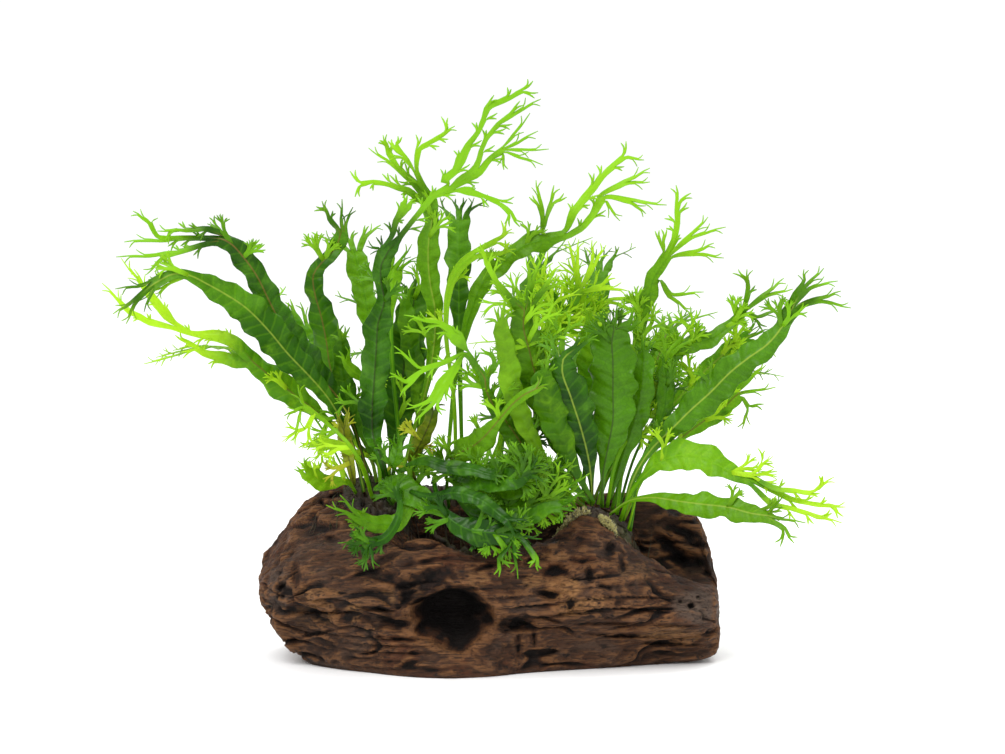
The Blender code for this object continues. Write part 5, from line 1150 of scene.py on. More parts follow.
    def relief(self, points: Array) -> Array:
        """Height of the wood's surface over its plain form in mm.

        Long fibres are ridges stretched along the log, drawn off line by slow noise; cracks are the thin tops of
        other ridges, turned down; layers are a saw tooth up the front; lumps are soft noise.

        Args:
            points: places in mm.

        Returns:
            One height to a place.
        """
        drawn = points + np.stack([
            np.zeros(points.shape[:-1]),
            11 * layered(points, (30, 20, 20), 2, 3) - 5.5,
            11 * layered(points, (30, 20, 20), 2, 4) - 5.5], axis=-1)
        look = LOOK.as_seen(points)
        lumps = self.lump * (2 * layered(points, (22, 15, 15), 3, 1) - 1)
        fibres = self.fibre * (ridges(drawn, (40, 5.6, 5.6), 3, 5) - 0.55)
        strips = self.strip * (ridges(drawn, (26, 2.7, 2.7), 2, 6) - 0.5)
        splinters = self.splinter * (ridges(drawn, (13, 1.3, 1.3), 2, 7) - 0.5)
        lines = ridges(drawn, (60, 9, 9), 2, 9)
        cracks = -self.crack * ease(lines, 0.86, 0.97) * ease(noise(points, (26, 18, 18), 11), 0.35, 0.65)
        level = points[..., 2] / 6.2 + 2.4 * noise(points, (60, 40, 25), 13)
        tooth = (level - np.floor(level)) ** 3
        front = ease(-points[..., 1], 14, 34) * ease(points[..., 2], 50, 34)
        layers = -self.terrace * tooth * front * ease(noise(points, (38, 30, 14), 15), 0.25, 0.6)
        knobs = ease(look[..., 0], -2, 12) * ease(look[..., 0], 78, 62) * ease(look[..., 1], 24, 32)
        chips = self.chip * knobs * (ridges(points, (9, 8, 7), 3, 19) - 0.55)
        chips = chips + self.small_chip * (ridges(points, (7, 5, 5), 2, 21) - 0.55)
        smooth = 1 - 0.6 * ease(look[..., 0], 88, 94) * ease(look[..., 1], 42, 38) * ease(look[..., 1], 16, 20)
        return (lumps + fibres + strips + splinters + cracks + layers + chips) * smooth

    def hollowed(self, points: Array) -> tuple[Array, Array]:
        """The cave and the pits: what lies inside the cave's rounded form is pushed back to its far wall.

        The cave's roof slopes in gently, and its floor falls in steeply behind a lip.

        Args:
            points: places in mm.

        Returns:
            The moved points, and how deep in a hollow each lies from 0 to 1.
        """
        middle, half = np.array(self.cave_middle), np.array(self.cave_half)
        wobble = 0.62 * (layered(points, (14, 60, 9), 3, 23) - 0.5)
        off = (points - middle) / half
        flat = np.sqrt(off[..., 0] ** 2 + off[..., 2] ** 2) + wobble
        bowl = np.clip(1 - flat ** 2, 0, 1) ** (0.45 + 1.0 * ease(off[..., 2], -0.2, 0.8))
        front = ease(points[..., 1], -8, -24)
        target = -56 + (middle[1] + half[1] + 56) * bowl
        push = np.where(flat < 1, np.maximum(0.0, target - points[..., 1]), 0.0) * front
        moved = points + push[..., None] * np.array([0.0, 1.0, 0.0])
        depth = ease(push, 9.0, 24.0)
        look = LOOK.as_seen(points)
        for right, up, wide, high, deep, lean in self.pits:
            aside, above = look[..., 0] - right, look[..., 1] - up
            ring = (aside / wide) ** 2 + ((above + lean * aside) / high) ** 2
            ring = ring + 1.3 * (layered(points, (5, 5, 3.5), 2, 29) - 0.5)
            dent = np.exp(-np.maximum(ring, 0) ** 1.3 * 1.4) * deep * ease(points[..., 1], 24, 4)
            moved = moved + dent[..., None] * np.array([0.0, 1.0, -0.2])
            depth = np.maximum(depth, 0.55 * ease(dent, 1.5, 7.0))
        return moved, depth

    def cavities(self, points: Array, outward: Array) -> Array:
        """How far each place stands out of what is round it in mm, below zero in hollows, at two sizes."""
        total = np.zeros(points.shape[:2])
        for reach, share in ((2, 1.0), (6, 0.45)):
            beside = np.zeros_like(points)
            for step in (-reach, reach):
                beside += np.roll(points, step, axis=1) + points[np.clip(np.arange(len(points)) + step, 0,
                                                                         len(points) - 1)]
            total += share * ((points - beside / 4) * outward).sum(axis=-1)
        return total

    def build(self) -> bpy.types.Object:
        """Makes the log: the form, moved out by its relief, hollowed, and set down on its flat underside.

        Returns:
            The finished piece.
        """
        points, rim = self.form()
        outward = self.normals(points)
        outward = outward * np.sign((outward * (points - points.mean(axis=1, keepdims=True))).sum(axis=-1).mean())
        height = self.relief(points)
        free = ease(points[..., 2], 0.3, 5.0)
        ends = self.end_chip * rim ** 0.5 * (ridges(points, (9, 6, 4), 3, 31) - 0.6)
        moved = points + outward * ((height * (1 - 0.6 * rim)) * free)[..., None]
        moved[..., 0] += np.sign(points[..., 0]) * ends
        moved, depth = self.hollowed(moved)
        moved[..., 2] = np.maximum(moved[..., 2], 0.0)
        # painted shade for small hollows and a painted highlight for crests, from how far each place stands out
        slope = np.clip(0.5 + self.cavity_shading * self.cavities(moved, outward) + 0.05 * height, 0, 1)
        # painted shade: black inside the cave and pits by their depth, and over the trough on top where the fronds'
        # shade falls on dark wet wood
        trough = ease(moved[..., 2], 62, 46) * ease(np.abs(moved[..., 1] + 6), 26, 14) * ease(outward[..., 2], 0.1, 0.6)
        trough *= ease(moved[..., 0], -66, -46) * ease(moved[..., 0], 118, 30)
        shade = np.clip(np.maximum(depth, 0.85 * trough), 0, 1) * self.darkest_painted_shade
        look = LOOK.as_seen(moved)
        colour = [np.zeros(shade.shape), np.zeros(shade.shape)]
        for right, up, wide, high, strong, kind in self.patches:
            ring = ((look[..., 0] - right) / wide) ** 2 + ((look[..., 1] - up) / high) ** 2
            ring = ring + 1.6 * (layered(moved, (9, 6, 4), 3, 37) - 0.5)
            spot = strong * ease(ring, 1.25, 0.5) * ease(moved[..., 1], 24, 4)
            colour[kind] = np.maximum(colour[kind], spot)
        # painted shade: faces that look down near the foot keep less of their grey, so they come out darker
        under = ease(outward[..., 2], 0.25, -0.5) * ease(points[..., 2], 40, 6)
        colour[1] = colour[1] * (1 - 0.5 * under)
        sheet = Sheet()
        rows, across, _ = moved.shape
        quads = grid_faces(rows, across, closed=True)
        flat = np.concatenate([moved.reshape(-1, 3), moved[:1].mean(axis=1), moved[-1:].mean(axis=1)])
        tone = np.concatenate([np.stack([slope, shade], axis=-1).reshape(-1, 2), [[0.5, 0.0], [0.5, 0.0]]])
        stain = np.concatenate([np.stack(colour, axis=-1).reshape(-1, 2), [[0.0, 0.8], [0.0, 0.8]]])
        sheet.add(flat, np.concatenate([quads, end_fans(rows, across)]), {"relief": tone, "stain": stain})
        self.top = self.heights(moved)
        piece = sheet.build("driftwood")
        outwards(piece)
        piece.data.materials.append(WoodFinish().material())
        place(piece, ("driftwood_log",), "driftwood")
        return piece

    def heights(self, points: Array) -> Array:
        """The log's top as a map of heights: the highest point over each square mm, its gaps filled from beside.

        Args:
            points: the log's points in mm.

        Returns:
            Heights by whole mm from the map's corner.
        """
        spots = points.reshape(-1, 3)
        top = np.full(self.map_size, -1.0)
        left, near = self.map_corner
        cell = (np.clip(np.round(spots[:, 0] + left).astype(int), 0, self.map_size[0] - 1),
                np.clip(np.round(spots[:, 1] + near).astype(int), 0, self.map_size[1] - 1))
        np.maximum.at(top, cell, spots[:, 2])
        for _ in range(3):
            beside = np.max([np.roll(top, step, axis) for step in (-1, 1) for axis in (0, 1)], axis=0)
            top = np.where(top < 0, beside, top)
        return np.maximum(top, 3.0)

    def ground(self, x: Array, y: Array) -> Array:
        """The log's height under places, blended between the map's four nearest squares.

        Args:
            x: places right in mm.
            y: places back in mm.

        Returns:
            The heights in mm.
        """
        u = np.clip(x + self.map_corner[0], 0, self.map_size[0] - 1.001)
        v = np.clip(y + self.map_corner[1], 0, self.map_size[1] - 1.001)
        i, j = u.astype(int), v.astype(int)
        s, t = u - i, v - j
        top = self.top
        low = top[i, j] * (1 - t) + top[i, j + 1] * t
        high = top[i + 1, j] * (1 - t) + top[i + 1, j + 1] * t
        return low * (1 - s) + high * s


def outwards(piece: bpy.types.Object) -> None:
    """Turns a closed piece's faces outward, by the sign of its volume."""
    mesh = piece.data
    mesh.calc_loop_triangles()
    corners = np.zeros(len(mesh.loop_triangles) * 3, np.int32)
    mesh.loop_triangles.foreach_get("vertices", corners)
    spots = np.zeros(len(mesh.vertices) * 3, np.float32)
    mesh.vertices.foreach_get("co", spots)
    a, b, c = (spots.reshape(-1, 3)[corners.reshape(-1, 3)[:, i]] for i in range(3))
    if (a * np.cross(b, c)).sum() < 0:
        mesh.flip_normals()


def place(piece: bpy.types.Object, nodes: Sequence[str], slot: str) -> None:
    """Ties a piece to the frame: it rides on the body and stands for its nodes, which it hides.

    Args:
        piece: the finished piece.
        nodes: the CAD nodes that it replaces.
        slot: the record's material slot; not used.
    """
    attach(piece, "root")
    if nodes:
        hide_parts(*nodes)
    log.info("%s: %d points, %d faces, for %s", piece.name, len(piece.data.vertices), len(piece.data.polygons),
             ", ".join(nodes) or "no node")


@dataclass
class Lobe:
    """A way point with the lobes that leave it."""

    right: float
    up: float
    width: float
    kids: list["Lobe"] = field(default_factory=list)


def tips_in(lobe: Any) -> int:
    """How many tips a lobe of the table ends in."""
    if isinstance(lobe, tuple):
        return 0 if len(lobe) == 3 else 1
    return sum(tips_in(part) for part in lobe)


def ends_of(lobe: Any) -> list[tuple[float, float]]:
    """The far ends of a lobe of the table."""
    if isinstance(lobe, tuple):
        return [] if len(lobe) == 3 else [lobe[-2:]]
    return [end for part in lobe for end in ends_of(part)]


def grow(lobe: Any, start: tuple[float, float]) -> Lobe:
    """A tree of way points from one lobe of the table.

    Args:
        lobe: the lobe as the table gives it.
        start: where it leaves its stem, right and up.

    Returns:
        The tree.
    """
    if isinstance(lobe, tuple):
        places = [lobe[i:i + 2] for i in range(0, len(lobe), 2)]
        tree = Lobe(*places[-1], 0.0)
        for i in range(len(places) - 2, -1, -1):
            tree = Lobe(*places[i], TIP_WIDTH * (1.25 - 0.45 * i / max(1, len(places) - 1)), [tree])
        return tree
    chain = [part for part in lobe if isinstance(part, tuple) and len(part) == 3]
    parts = lobe[len(chain):]
    if not chain:
        middle = np.mean([end for part in lobe for end in ends_of(part)], axis=0)
        spot = np.array(start) + 0.42 * (middle - np.array(start))
        chain = [(spot[0], spot[1], TIP_WIDTH * 0.9 * math.sqrt(tips_in(lobe)))]
    tree = Lobe(*chain[-1], [grow(part, chain[-1][:2]) for part in parts])
    for spot in reversed(chain[:-1]):
        tree = Lobe(*spot, [tree])
    return tree


def flatten(tree: Lobe) -> tuple[Array, Array, Array]:
    """The tree as arrays, a stem before its lobes.

    Args:
        tree: its first way point.

    Returns:
        Places in the front look, widths, and the number of the way point before.
    """
    rows, todo = [], [(tree, -1)]
    while todo:
        at, before = todo.pop(0)
        rows.append((at.right, at.up, at.width, before))
        todo = [(kid, len(rows) - 1) for kid in at.kids] + todo
    table = np.array(rows, float)
    return table[:, :2], table[:, 2], table[:, 3].astype(int)


@dataclass
class Growth:
    """A tree of way points in space: places, widths, the one before each, youth at foot and tip, columns across."""

    points: Array
    widths: Array
    before: Array
    youth: float
    tip_youth: float
    columns: int


@dataclass
class Frond:
    """One frond: a stalk, a waved blade with a midrib, and a forked, lacy tip."""

    name: str
    places: Array
    widths: Array
    before: Array
    face: Array
    guess: Array
    row_step: float = 3.1
    columns: int = 16
    blade_half: float = 0.26
    stalk_half: float = 0.62
    rib_half: float = 0.34
    wave: float = 0.13
    wave_length: float = 21.0
    scallop: float = 0.06
    prong: float = 5.0
    slim: float = 0.74
    lace: float = 1.0
    look: tuple[float, float] = (0.0, 0.0)
    shoot_foot: float = 2.2
    shoot_stem: float = 2.9
    shoot_forks: int = 3
    narrowing: float = 0.74

    @property
    def tone(self) -> Tone:
        """The frond's leaf colour."""
        return next((tone for tone, names in TONES.items() if self.name in names), Tone.GREEN)

    @property
    def rib(self) -> Rib:
        """The frond's midrib."""
        return next((rib for rib, names in RIBS.items() if self.name in names), Rib.PLAIN)

    def anchor(self, node: bpy.types.Object) -> Array:
        """The way points in space, found again on the frond's solid.

        A way point is the middle of the two outer corners of its ring, and a tip is one corner, so of all corners
        and middles of pairs, the one that looks nearest to the way point from the front gives its depth.

        Args:
            node: the solid.

        Returns:
            The way points in mm.
        """
        spots = np.zeros(len(node.data.vertices) * 3)
        node.data.vertices.foreach_get("co", spots)
        spots = np.unique(np.round(spots.reshape(-1, 3) / MM, 3), axis=0)
        one, two = np.triu_indices(len(spots), 1)
        wide = np.linalg.norm(spots[one] - spots[two], axis=1)
        near = wide < self.widths.max() * 1.1 + 1
        middles, wide = (spots[one] + spots[two])[near] / 2, wide[near]
        look, middle_look = LOOK.as_seen(spots), LOOK.as_seen(middles)
        found = np.zeros((len(self.places), 3))
        for i, spot in enumerate(self.places):
            if self.widths[i] <= 0:
                off = np.linalg.norm(look - spot, axis=1)
                found[i] = spots[np.argmin(off)]
                continue
            off = np.linalg.norm(middle_look - spot, axis=1) + 0.012 * np.abs(wide - self.widths[i])
            if i == 0:
                off = np.linalg.norm(middles[:, :2] - self.guess[:2], axis=1) + np.abs(wide - STALK)
                off = off + 0.01 * middles[:, 2]
            found[i] = middles[np.argmin(off)]
        return found

    def forked(self, points: Array) -> tuple[Array, Array, Array]:
        """Adds the small prongs: a lobe's tip splits in two or three, each prong leaning off to one side.

        Args:
            points: the way points in mm.

        Returns:
            The points, widths and numbers before with the prongs.
        """
        spots, before = [*points], [*self.before]
        up = unit(np.array([0.0, -1.0, 0.25]))
        crest = np.zeros(len(points), bool)
        for i in range(1, len(points)):
            stem = self.before[i]
            crest[i] = crest[stem] or (self.before == stem).sum() > 1
        widths = [*np.where(crest & (self.widths > 0), np.maximum(self.widths * self.slim, 1.7), self.widths)]
        for i in np.flatnonzero(crest & (self.widths > 0)):
            kids = np.flatnonzero(self.before == i)
            far = float(np.linalg.norm(points[kids[0]] - points[i])) if len(kids) == 1 else 0.0
            for k in range(0 if far < 4.5 else 1 if far < 9 else 2):
                kid = kids[0]
                sign = 1 if (i + k + len(self.name)) % 2 else -1
                way = points[kid] - points[i]
                onward, aside = way / far, unit(np.cross(up, way))
                turn = 0.75 + 0.35 * shade_of(f"{self.name}{i}s{k}")
                lean = unit(onward * math.cos(turn) + aside * sign * math.sin(turn) + up * 0.3 * math.sin(2.7 * i + k))
                if k == 0:
                    stem = i
                else:
                    spots.append(points[i] + way * 0.5)
                    widths.append((widths[i] + max(widths[kid], 1.2)) / 2)
                    before.append(i)
                    stem = len(spots) - 1
                    before[kid] = stem
                reach = (4.0 + 4.5 * shade_of(f"{i}{self.name}{k}")) * self.lace
                spots.append(spots[stem] + lean * reach * 0.55)
                widths.append(1.9)
                before.append(stem)
                arm = len(spots) - 1
                for twist in (-0.45, 0.5):
                    spread = unit(lean * math.cos(twist) + np.cross(up, lean) * math.sin(twist) + up * 0.1 * twist)
                    spots.append(spots[arm] + spread * reach * (0.5 if twist > 0 else 0.38))
                    widths.append(0.0)
                    before.append(arm)
        for i in np.flatnonzero(self.widths <= 0):
            j = self.before[i]
            way = points[i] - points[j]
            far = float(np.linalg.norm(way))
            start = min(max(float(widths[j]), 1.6), 2.6)
            shares = (0.42, 0.72) if far > 9.5 else (0.55,) if far > 5 else ()
            stem = j
            for k, share in enumerate(shares):
                turn = (0.62 + 0.3 * shade_of(f"{self.name}{i}{k}")) * (1 if (i + k + len(self.name)) % 2 else -1)
                onward = way / far
                aside = np.cross(up, onward)
                aside /= np.linalg.norm(aside) + 1e-9
                lean = onward * math.cos(turn) + aside * math.sin(turn) + up * 0.25 * math.cos(3.1 * i + k)
                reach = min(self.prong, 0.42 * far) * (1.05 - 0.25 * k)
                spots.append(points[j] + way * share)
                widths.append(start * (0.86 - 0.2 * k) * (1 - 0.25 * share))
                before.append(stem)
                stem = len(spots) - 1
                spots.append(spots[stem] + lean / np.linalg.norm(lean) * reach)
                widths.append(0.0)
                before.append(stem)
            before[i] = stem
        return self.ordered(np.array(spots), np.array(widths), np.array(before))

    @staticmethod
    def ordered(points: Array, widths: Array, before: Array) -> tuple[Array, Array, Array]:
        """Puts a tree's way points in order again, each stem before its lobes."""
        line, todo = [], [0]
        while todo:
            at = todo.pop()
            line.append(at)
            todo += list(np.flatnonzero(before == at))[::-1]
        where = np.zeros(len(line) + 1, int) - 1
        where[line] = np.arange(len(line))
        return points[line], widths[line], where[before[line]]

    def frames(self, points: Array, widths: Array, before: Array, face: Array) -> tuple[Array, Array, Array]:
        """Directions at each way point, carried from the widest one along the tree without a sudden turn.

        Args:
            points: way points in mm.
            widths: widths in mm.
            before: the number of the way point before each.
            face: the way the upper side looks.

        Returns:
            Onward, sideways and upper side directions.
        """
        count = len(points)
        kids = [np.flatnonzero(before == i) for i in range(count)]
        onward = np.zeros((count, 3))
        for i in range(count):
            into = unit(points[i] - points[before[i]]) if before[i] >= 0 else np.zeros(3)
            out = unit(np.mean([points[k] - points[i] for k in kids[i]], axis=0)) if len(kids[i]) else np.zeros(3)
            onward[i] = into + (out if len(kids[i]) == 1 else 0.3 * out)
        onward = unit(onward)
        raw = np.cross(onward, face)
        side = np.zeros((count, 3))

        def settle(i: int, beside: Array) -> None:
            """Sets one way point's side from its neighbour's and its own."""
            carried = unit(beside - onward[i] * (beside @ onward[i]))
            own = raw[i] * (1 if raw[i] @ carried >= 0 else -1)
            side[i] = unit(carried if widths[i] < 3 and i < widest else carried * 0.6 + own)

        spine = [0]
        while len(kids[spine[-1]]) == 1:
            spine.append(kids[spine[-1]][0])
        widest = spine[int(np.argmax(widths[spine]))]
        side[widest] = unit(raw[widest])
        at = widest
        while before[at] >= 0:
            settle(before[at], side[at])
            at = before[at]
        for i in range(widest + 1, count):
            settle(i, side[before[i]])
        return onward, side, np.cross(side, onward)

    def shoot(self, points: Array, spec: Sequence[float], number: int) -> Growth:
        """A lacy side shoot: a short stem that forks three times, each time in two or three narrower lobes.

        Args:
            points: the frond's way points in mm.
            spec: where it starts as it looks, its direction, length and youth.
            number: which of the frond's shoots it is.

        Returns:
            The shoot's way points.
        """
        right, up, turn, length, youth = spec
        look = LOOK.as_seen(points)
        first, last = look[self.before[1:]], look[1:]
        way = last - first
        share = np.clip(((np.array([right, up]) - first) * way).sum(axis=1) / (way ** 2).sum(axis=1), 0, 1)
        gap = np.linalg.norm(first + way * share[:, None] - (right, up), axis=1)
        at = int(np.argmin(gap))
        start = points[self.before[1:]][at] * (1 - share[at]) + points[1:][at] * share[at]
        spots, widths, before = [start], [self.shoot_foot], [-1]
        todo = [(0, math.radians(turn), length * 0.36, self.shoot_stem, 0)]
        while todo:
            stem, angle, reach, wide, depth = todo.pop(0)
            jitter = shade_of(f"{self.name}{number}{len(spots)}") - 0.5
            lean = angle + 0.5 * jitter
            step = np.array([math.cos(lean), -0.34 * math.sin(5.1 * len(spots) + number) - 0.1, math.sin(lean)])
            spots.append(spots[stem] + step * reach * (1 + 0.5 * jitter))
            widths.append(wide if depth < self.shoot_forks else 0.0)
            before.append(stem)
            here = len(spots) - 1
            if depth < self.shoot_forks:
                fan = (-0.55, 0.5) if (here + number) % 3 else (-0.75, -0.05, 0.7)
                todo += [(here, lean + part, reach * (self.narrowing if part * jitter > 0 else 0.62),
                          wide * self.narrowing, depth + 1)
                         for part in fan]
        order = self.ordered(np.array(spots), np.array(widths), np.array(before))
        return Growth(*order, youth, min(1.0, youth + 0.5), 2)

    def side_leaf(self, spec: Sequence[Any]) -> Growth:
        """A narrow leaf beside the frond, its depth running evenly from base to tip.

        Args:
            spec: depths, youth, face, way points and lobes.

        Returns:
            The leaf's way points.
        """
        start, end, youth, _, spine, crest = spec
        tree = grow(crest, spine[-1][:2])
        for spot in reversed(spine):
            tree = Lobe(*spot[:3], [tree])
        places, widths, before = flatten(tree)
        steps = np.zeros(len(before))
        for i in range(1, len(before)):
            steps[i] = steps[before[i]] + np.linalg.norm(places[i] - places[before[i]])
        share = steps / steps.max()
        depths = start + (end - start) * share ** 0.8 + 2 * np.sin(9 * share + places[:, 0] * 0.4) * share
        leaf = Frond(self.name, places, widths, before, np.array(spec[3], float), np.zeros(3))
        return Growth(*leaf.forked(LOOK.seen(places, depths)), youth, min(1.0, youth + 0.7), 14)

    def build(self, node: bpy.types.Object, finishes: dict[Tone, bpy.types.Material]) -> bpy.types.Object:
        """Makes the frond with its side shoots and side leaves.

        Args:
            node: the solid that it replaces.
            finishes: the leaf materials.

        Returns:
            The finished piece.
        """
        anchored = self.anchor(node)
        sheet = Sheet()
        self.weave(sheet, Growth(*self.forked(anchored), 0.0, 1.0, self.columns), self.face, 0)
        shoots = [(right + 3 * twin, up + 2 * twin, turn + 38 * twin, long * (1 - 0.22 * abs(twin)), youth)
                  for right, up, turn, long, youth in SHOOTS.get(self.name, ())
                  for twin in ((0, 1, -1) if self.name in THICK else (0,))]
        for number, spec in enumerate(shoots):
            self.weave(sheet, self.shoot(anchored, spec, number), np.array([0.1, -1.0, 0.3]), number + 1)
        for number, spec in enumerate(SIDE_LEAVES.get(self.name, ())):
            self.weave(sheet, self.side_leaf(spec), np.array(spec[3], float), number + 50)
        piece = sheet.build("fern_" + self.name, 0.02)
        thick = piece.modifiers.new("thickness", "SOLIDIFY")
        thick.thickness = 2 * self.stalk_half * MM
        thick.offset = 0.0
        thick.vertex_group = "thick"
        thick.use_rim = True
        piece.data.materials.append(finishes[self.tone])
        place(piece, (node.name,), self.tone.value)
        return piece

    def weave(self, sheet: Sheet, growth: Growth, face: Array, number: int) -> None:
        """Adds a tree of way points as a ribbon for each stretch between them, split between lobes at forks.

        Each ribbon's middle is a smooth (Hermite) curve, its width changes smoothly, and its columns at a fork are
        a share of the stem's columns, as many as the tips that follow.

        Args:
            sheet: what it is added to.
            growth: the tree.
            face: the way its upper face looks.
            number: which growth of the frond it is; it sets the shade and the waves.
        """
        points, widths, before = growth.points, growth.widths, growth.before
        onward, side, _ = self.frames(points, widths, before, face)
        count = len(points)
        kids = [list(np.flatnonzero(before == i)) for i in range(count)]
        tips = np.zeros(count, int)
        for i in range(count - 1, -1, -1):
            tips[i] = sum(tips[k] for k in kids[i]) if kids[i] else 1
        widths = np.where(widths > 0, widths, 0.35)
        step = np.concatenate([[0], np.linalg.norm(points[1:] - points[before[1:]], axis=1)])
        far, young, slope = np.zeros(count), np.full(count, growth.youth), np.zeros(count)
        first_fork = next(i for i in range(count) if len(kids[i]) > 1)
        for i in range(1, count):
            far[i] = far[before[i]] + step[i]
            rise = step[i] / 30 * (growth.tip_youth - growth.youth) if i > first_fork else 0.0
            young[i] = min(growth.tip_youth, young[before[i]] + rise)
            if len(kids[i]) == 1:
                k = kids[i][0]
                slope[i] = (widths[k] - widths[before[i]]) / (step[i] + step[k])
        peak = int(np.argmax(widths[:first_fork + 1]))
        per_tip = max(2, math.ceil(growth.columns / tips[0] / 2) * 2)
        shade = shade_of(f"{self.name}{number or ''}")
        self.look = (shade, 6.283 * shade)
        for i in range(count):
            angle = [math.atan2(unit(points[k] - points[i]) @ side[i], unit(points[k] - points[i]) @ onward[i])
                     for k in kids[i]]
            done = 0
            for k in [kids[i][n] for n in np.argsort(angle)]:
                share = (2 * done / tips[i] - 1, 2 * (done + tips[k]) / tips[i] - 1)
                done += tips[k]
                self.ribbon(sheet, (i, k), share, points, widths, slope, onward, side, step, far, young,
                            tips[k] * per_tip, i < peak, len(kids[i]) > 1)

    def ribbon(self, sheet: Sheet, ends: tuple[int, int], share: tuple[float, float], points: Array, widths: Array,
               slope: Array, onward: Array, side: Array, step: Array, far: Array, young: Array, columns: int,
               stalk: bool, fork: bool) -> None:
        """Adds the stretch between two way points.

        The surface is middle + side * aside + upper side * lift. Aside is the half width times a number from -1 to
        1, with scallops to the margin; lift is a wave that grows to the margin, plus a slight trough at the rib.

        Args:
            sheet: what it is added to.
            ends: the numbers of the way points before and after.
            share: which part of the stem's width it takes up, from -1 to 1.
            points: the way points.
            widths: their widths.
            slope: how fast the width changes at each.
            onward: directions on.
            side: directions to the side.
            step: distances to the way point before.
            far: distances from the base.
            young: 0 on the blade, rising to 1 at the tips.
            columns: columns across.
            stalk: whether the stretch lies below the widest place.
            fork: whether it leaves a fork.
        """
        i, k = ends
        reach = float(step[k])
        rows = max(2, math.ceil(reach / (self.row_step * (1.6 if stalk and widths[k] < 5 else 1.0))))
        t = np.linspace(0, 1, rows + 1)[:, None]
        v = np.linspace(-1, 1, columns + 1)[None, :]
        low, high = share
        start = points[i] + side[i] * widths[i] / 2 * (low + high) / 2
        gap = float(np.linalg.norm(points[k] - start))
        pull = gap * (0.7 if fork else 1.0)
        h = (2 * t ** 3 - 3 * t ** 2 + 1, t ** 3 - 2 * t ** 2 + t, 3 * t ** 2 - 2 * t ** 3, t ** 3 - t ** 2)
        tip = widths[k] <= 0.36
        out = unit(points[k] - start) if tip else onward[k]
        middle = h[0] * start + h[1] * onward[i] * pull + h[2] * points[k] + h[3] * out * gap
        turn = t * t * (3 - 2 * t)
        pace = (6 * t * t - 6 * t, 3 * t * t - 4 * t + 1, 6 * t - 6 * t * t, 3 * t * t - 2 * t)
        along = unit(pace[0] * start + pace[1] * onward[i] * pull + pace[2] * points[k] + pace[3] * out * gap)
        beside = side[i] * (1 - turn) + side[k] * turn
        beside = unit(beside - along * (beside * along).sum(axis=1, keepdims=True))
        upper = np.cross(beside, along)
        w0, w1 = widths[i], widths[k]
        m0, m1 = (0.0 if fork else slope[i]) * reach, slope[k] * reach
        width = np.maximum(h[0] * w0 + h[1] * m0 + h[2] * w1 + h[3] * m1, 0.3)
        part = (high - low) / 2
        half = np.maximum(h[0] * w0 * part + h[1] * m0 + h[2] * w1 + h[3] * m1, 0.3) / 2 if fork else width / 2
        if tip:
            half = w0 * part / 2 * (1 - t ** 2.6) + 0.17 * t ** 2.6
            width = w0 * (1 - t ** 2.6) + 0.35 * t ** 2.6
        q = (1 - t) * (low + (high - low) * (v + 1) / 2) + t * v if fork else v + 0 * t
        s = far[i] + t * reach
        shade, phase = self.look
        broad = np.clip((width - 3.0) / 5.0, 0, 1)
        beat = 2 * np.pi * s / self.wave_length + phase
        edge = np.abs(q) ** 2.2
        lift = self.wave * width * broad * edge * (np.sin(beat + 1.3 * q) + 0.35 * np.sin(2.3 * beat - 2.0 * q))
        lift += 0.05 * width * broad * (q * q - 0.3) * (1 if int(phase * 7) % 2 else -1)
        lift += 0.09 * np.clip(width - 1.2, 0, 3) * (1 - broad) * q * q
        frill = self.scallop * width * broad * q * np.abs(q) * np.sin(1.6 * beat + 1.9 * q + phase)
        aside = half * v + frill
        spots = middle[:, None] + beside[:, None] * aside[..., None] + upper[:, None] * lift[..., None]
        rib_off = width / 2 * q
        rib = self.rib_half * np.exp(-(rib_off / 0.75) ** 2) * np.clip(width / 6, 0.25, 1) * (1 - 0.5 * young[i])
        stem = self.stalk_half * np.sqrt(np.clip(1 - (0.93 * q) ** 2, 0, 1))
        below = np.clip((4.2 - width) / 2.2, 0, 1) * (1.0 if stalk else 0.0)
        thick = (self.blade_half * (1 - 0.45 * q ** 4) + rib) * (1 - below) + stem * below
        thick = thick * np.clip(0.55 + width / 8, 0.55, 1)
        growth = (1 - t) * young[i] + t * young[k]
        maps = {
            "blade": np.stack([s + 0 * q, 0.5 + (rib_off) / 50], axis=-1) * (0.01, 1.0),
            "growth": np.stack([growth + 0 * q, shade + 0 * q + 0 * t], axis=-1),
            "rib": np.stack([self.rib.value + 0 * q + 0 * t, width / 20 + 0 * q], axis=-1),
        }
        sheet.add(spots.reshape(-1, 3), grid_faces(rows + 1, columns + 1), {
            key: value.reshape(-1, 2) for key, value in maps.items()}, np.clip(thick / self.stalk_half, 0, 1).ravel())


def table_fronds() -> list[Frond]:
    """The fronds that the front look gives."""
    found = []
    for name, (_, start, _, face, spine, crest) in FRONDS.items():
        tree = grow(crest, spine[-1][:2])
        for spot in reversed(spine):
            tree = Lobe(spot[0], spot[1], spot[2] or STALK, [tree])
        places, widths, before = flatten(tree)
        guess = LOOK.seen(places[:1], np.array([float(start)]))[0]
        found.append(Frond(name, places, widths, before, np.array(face, float), guess))
    return found


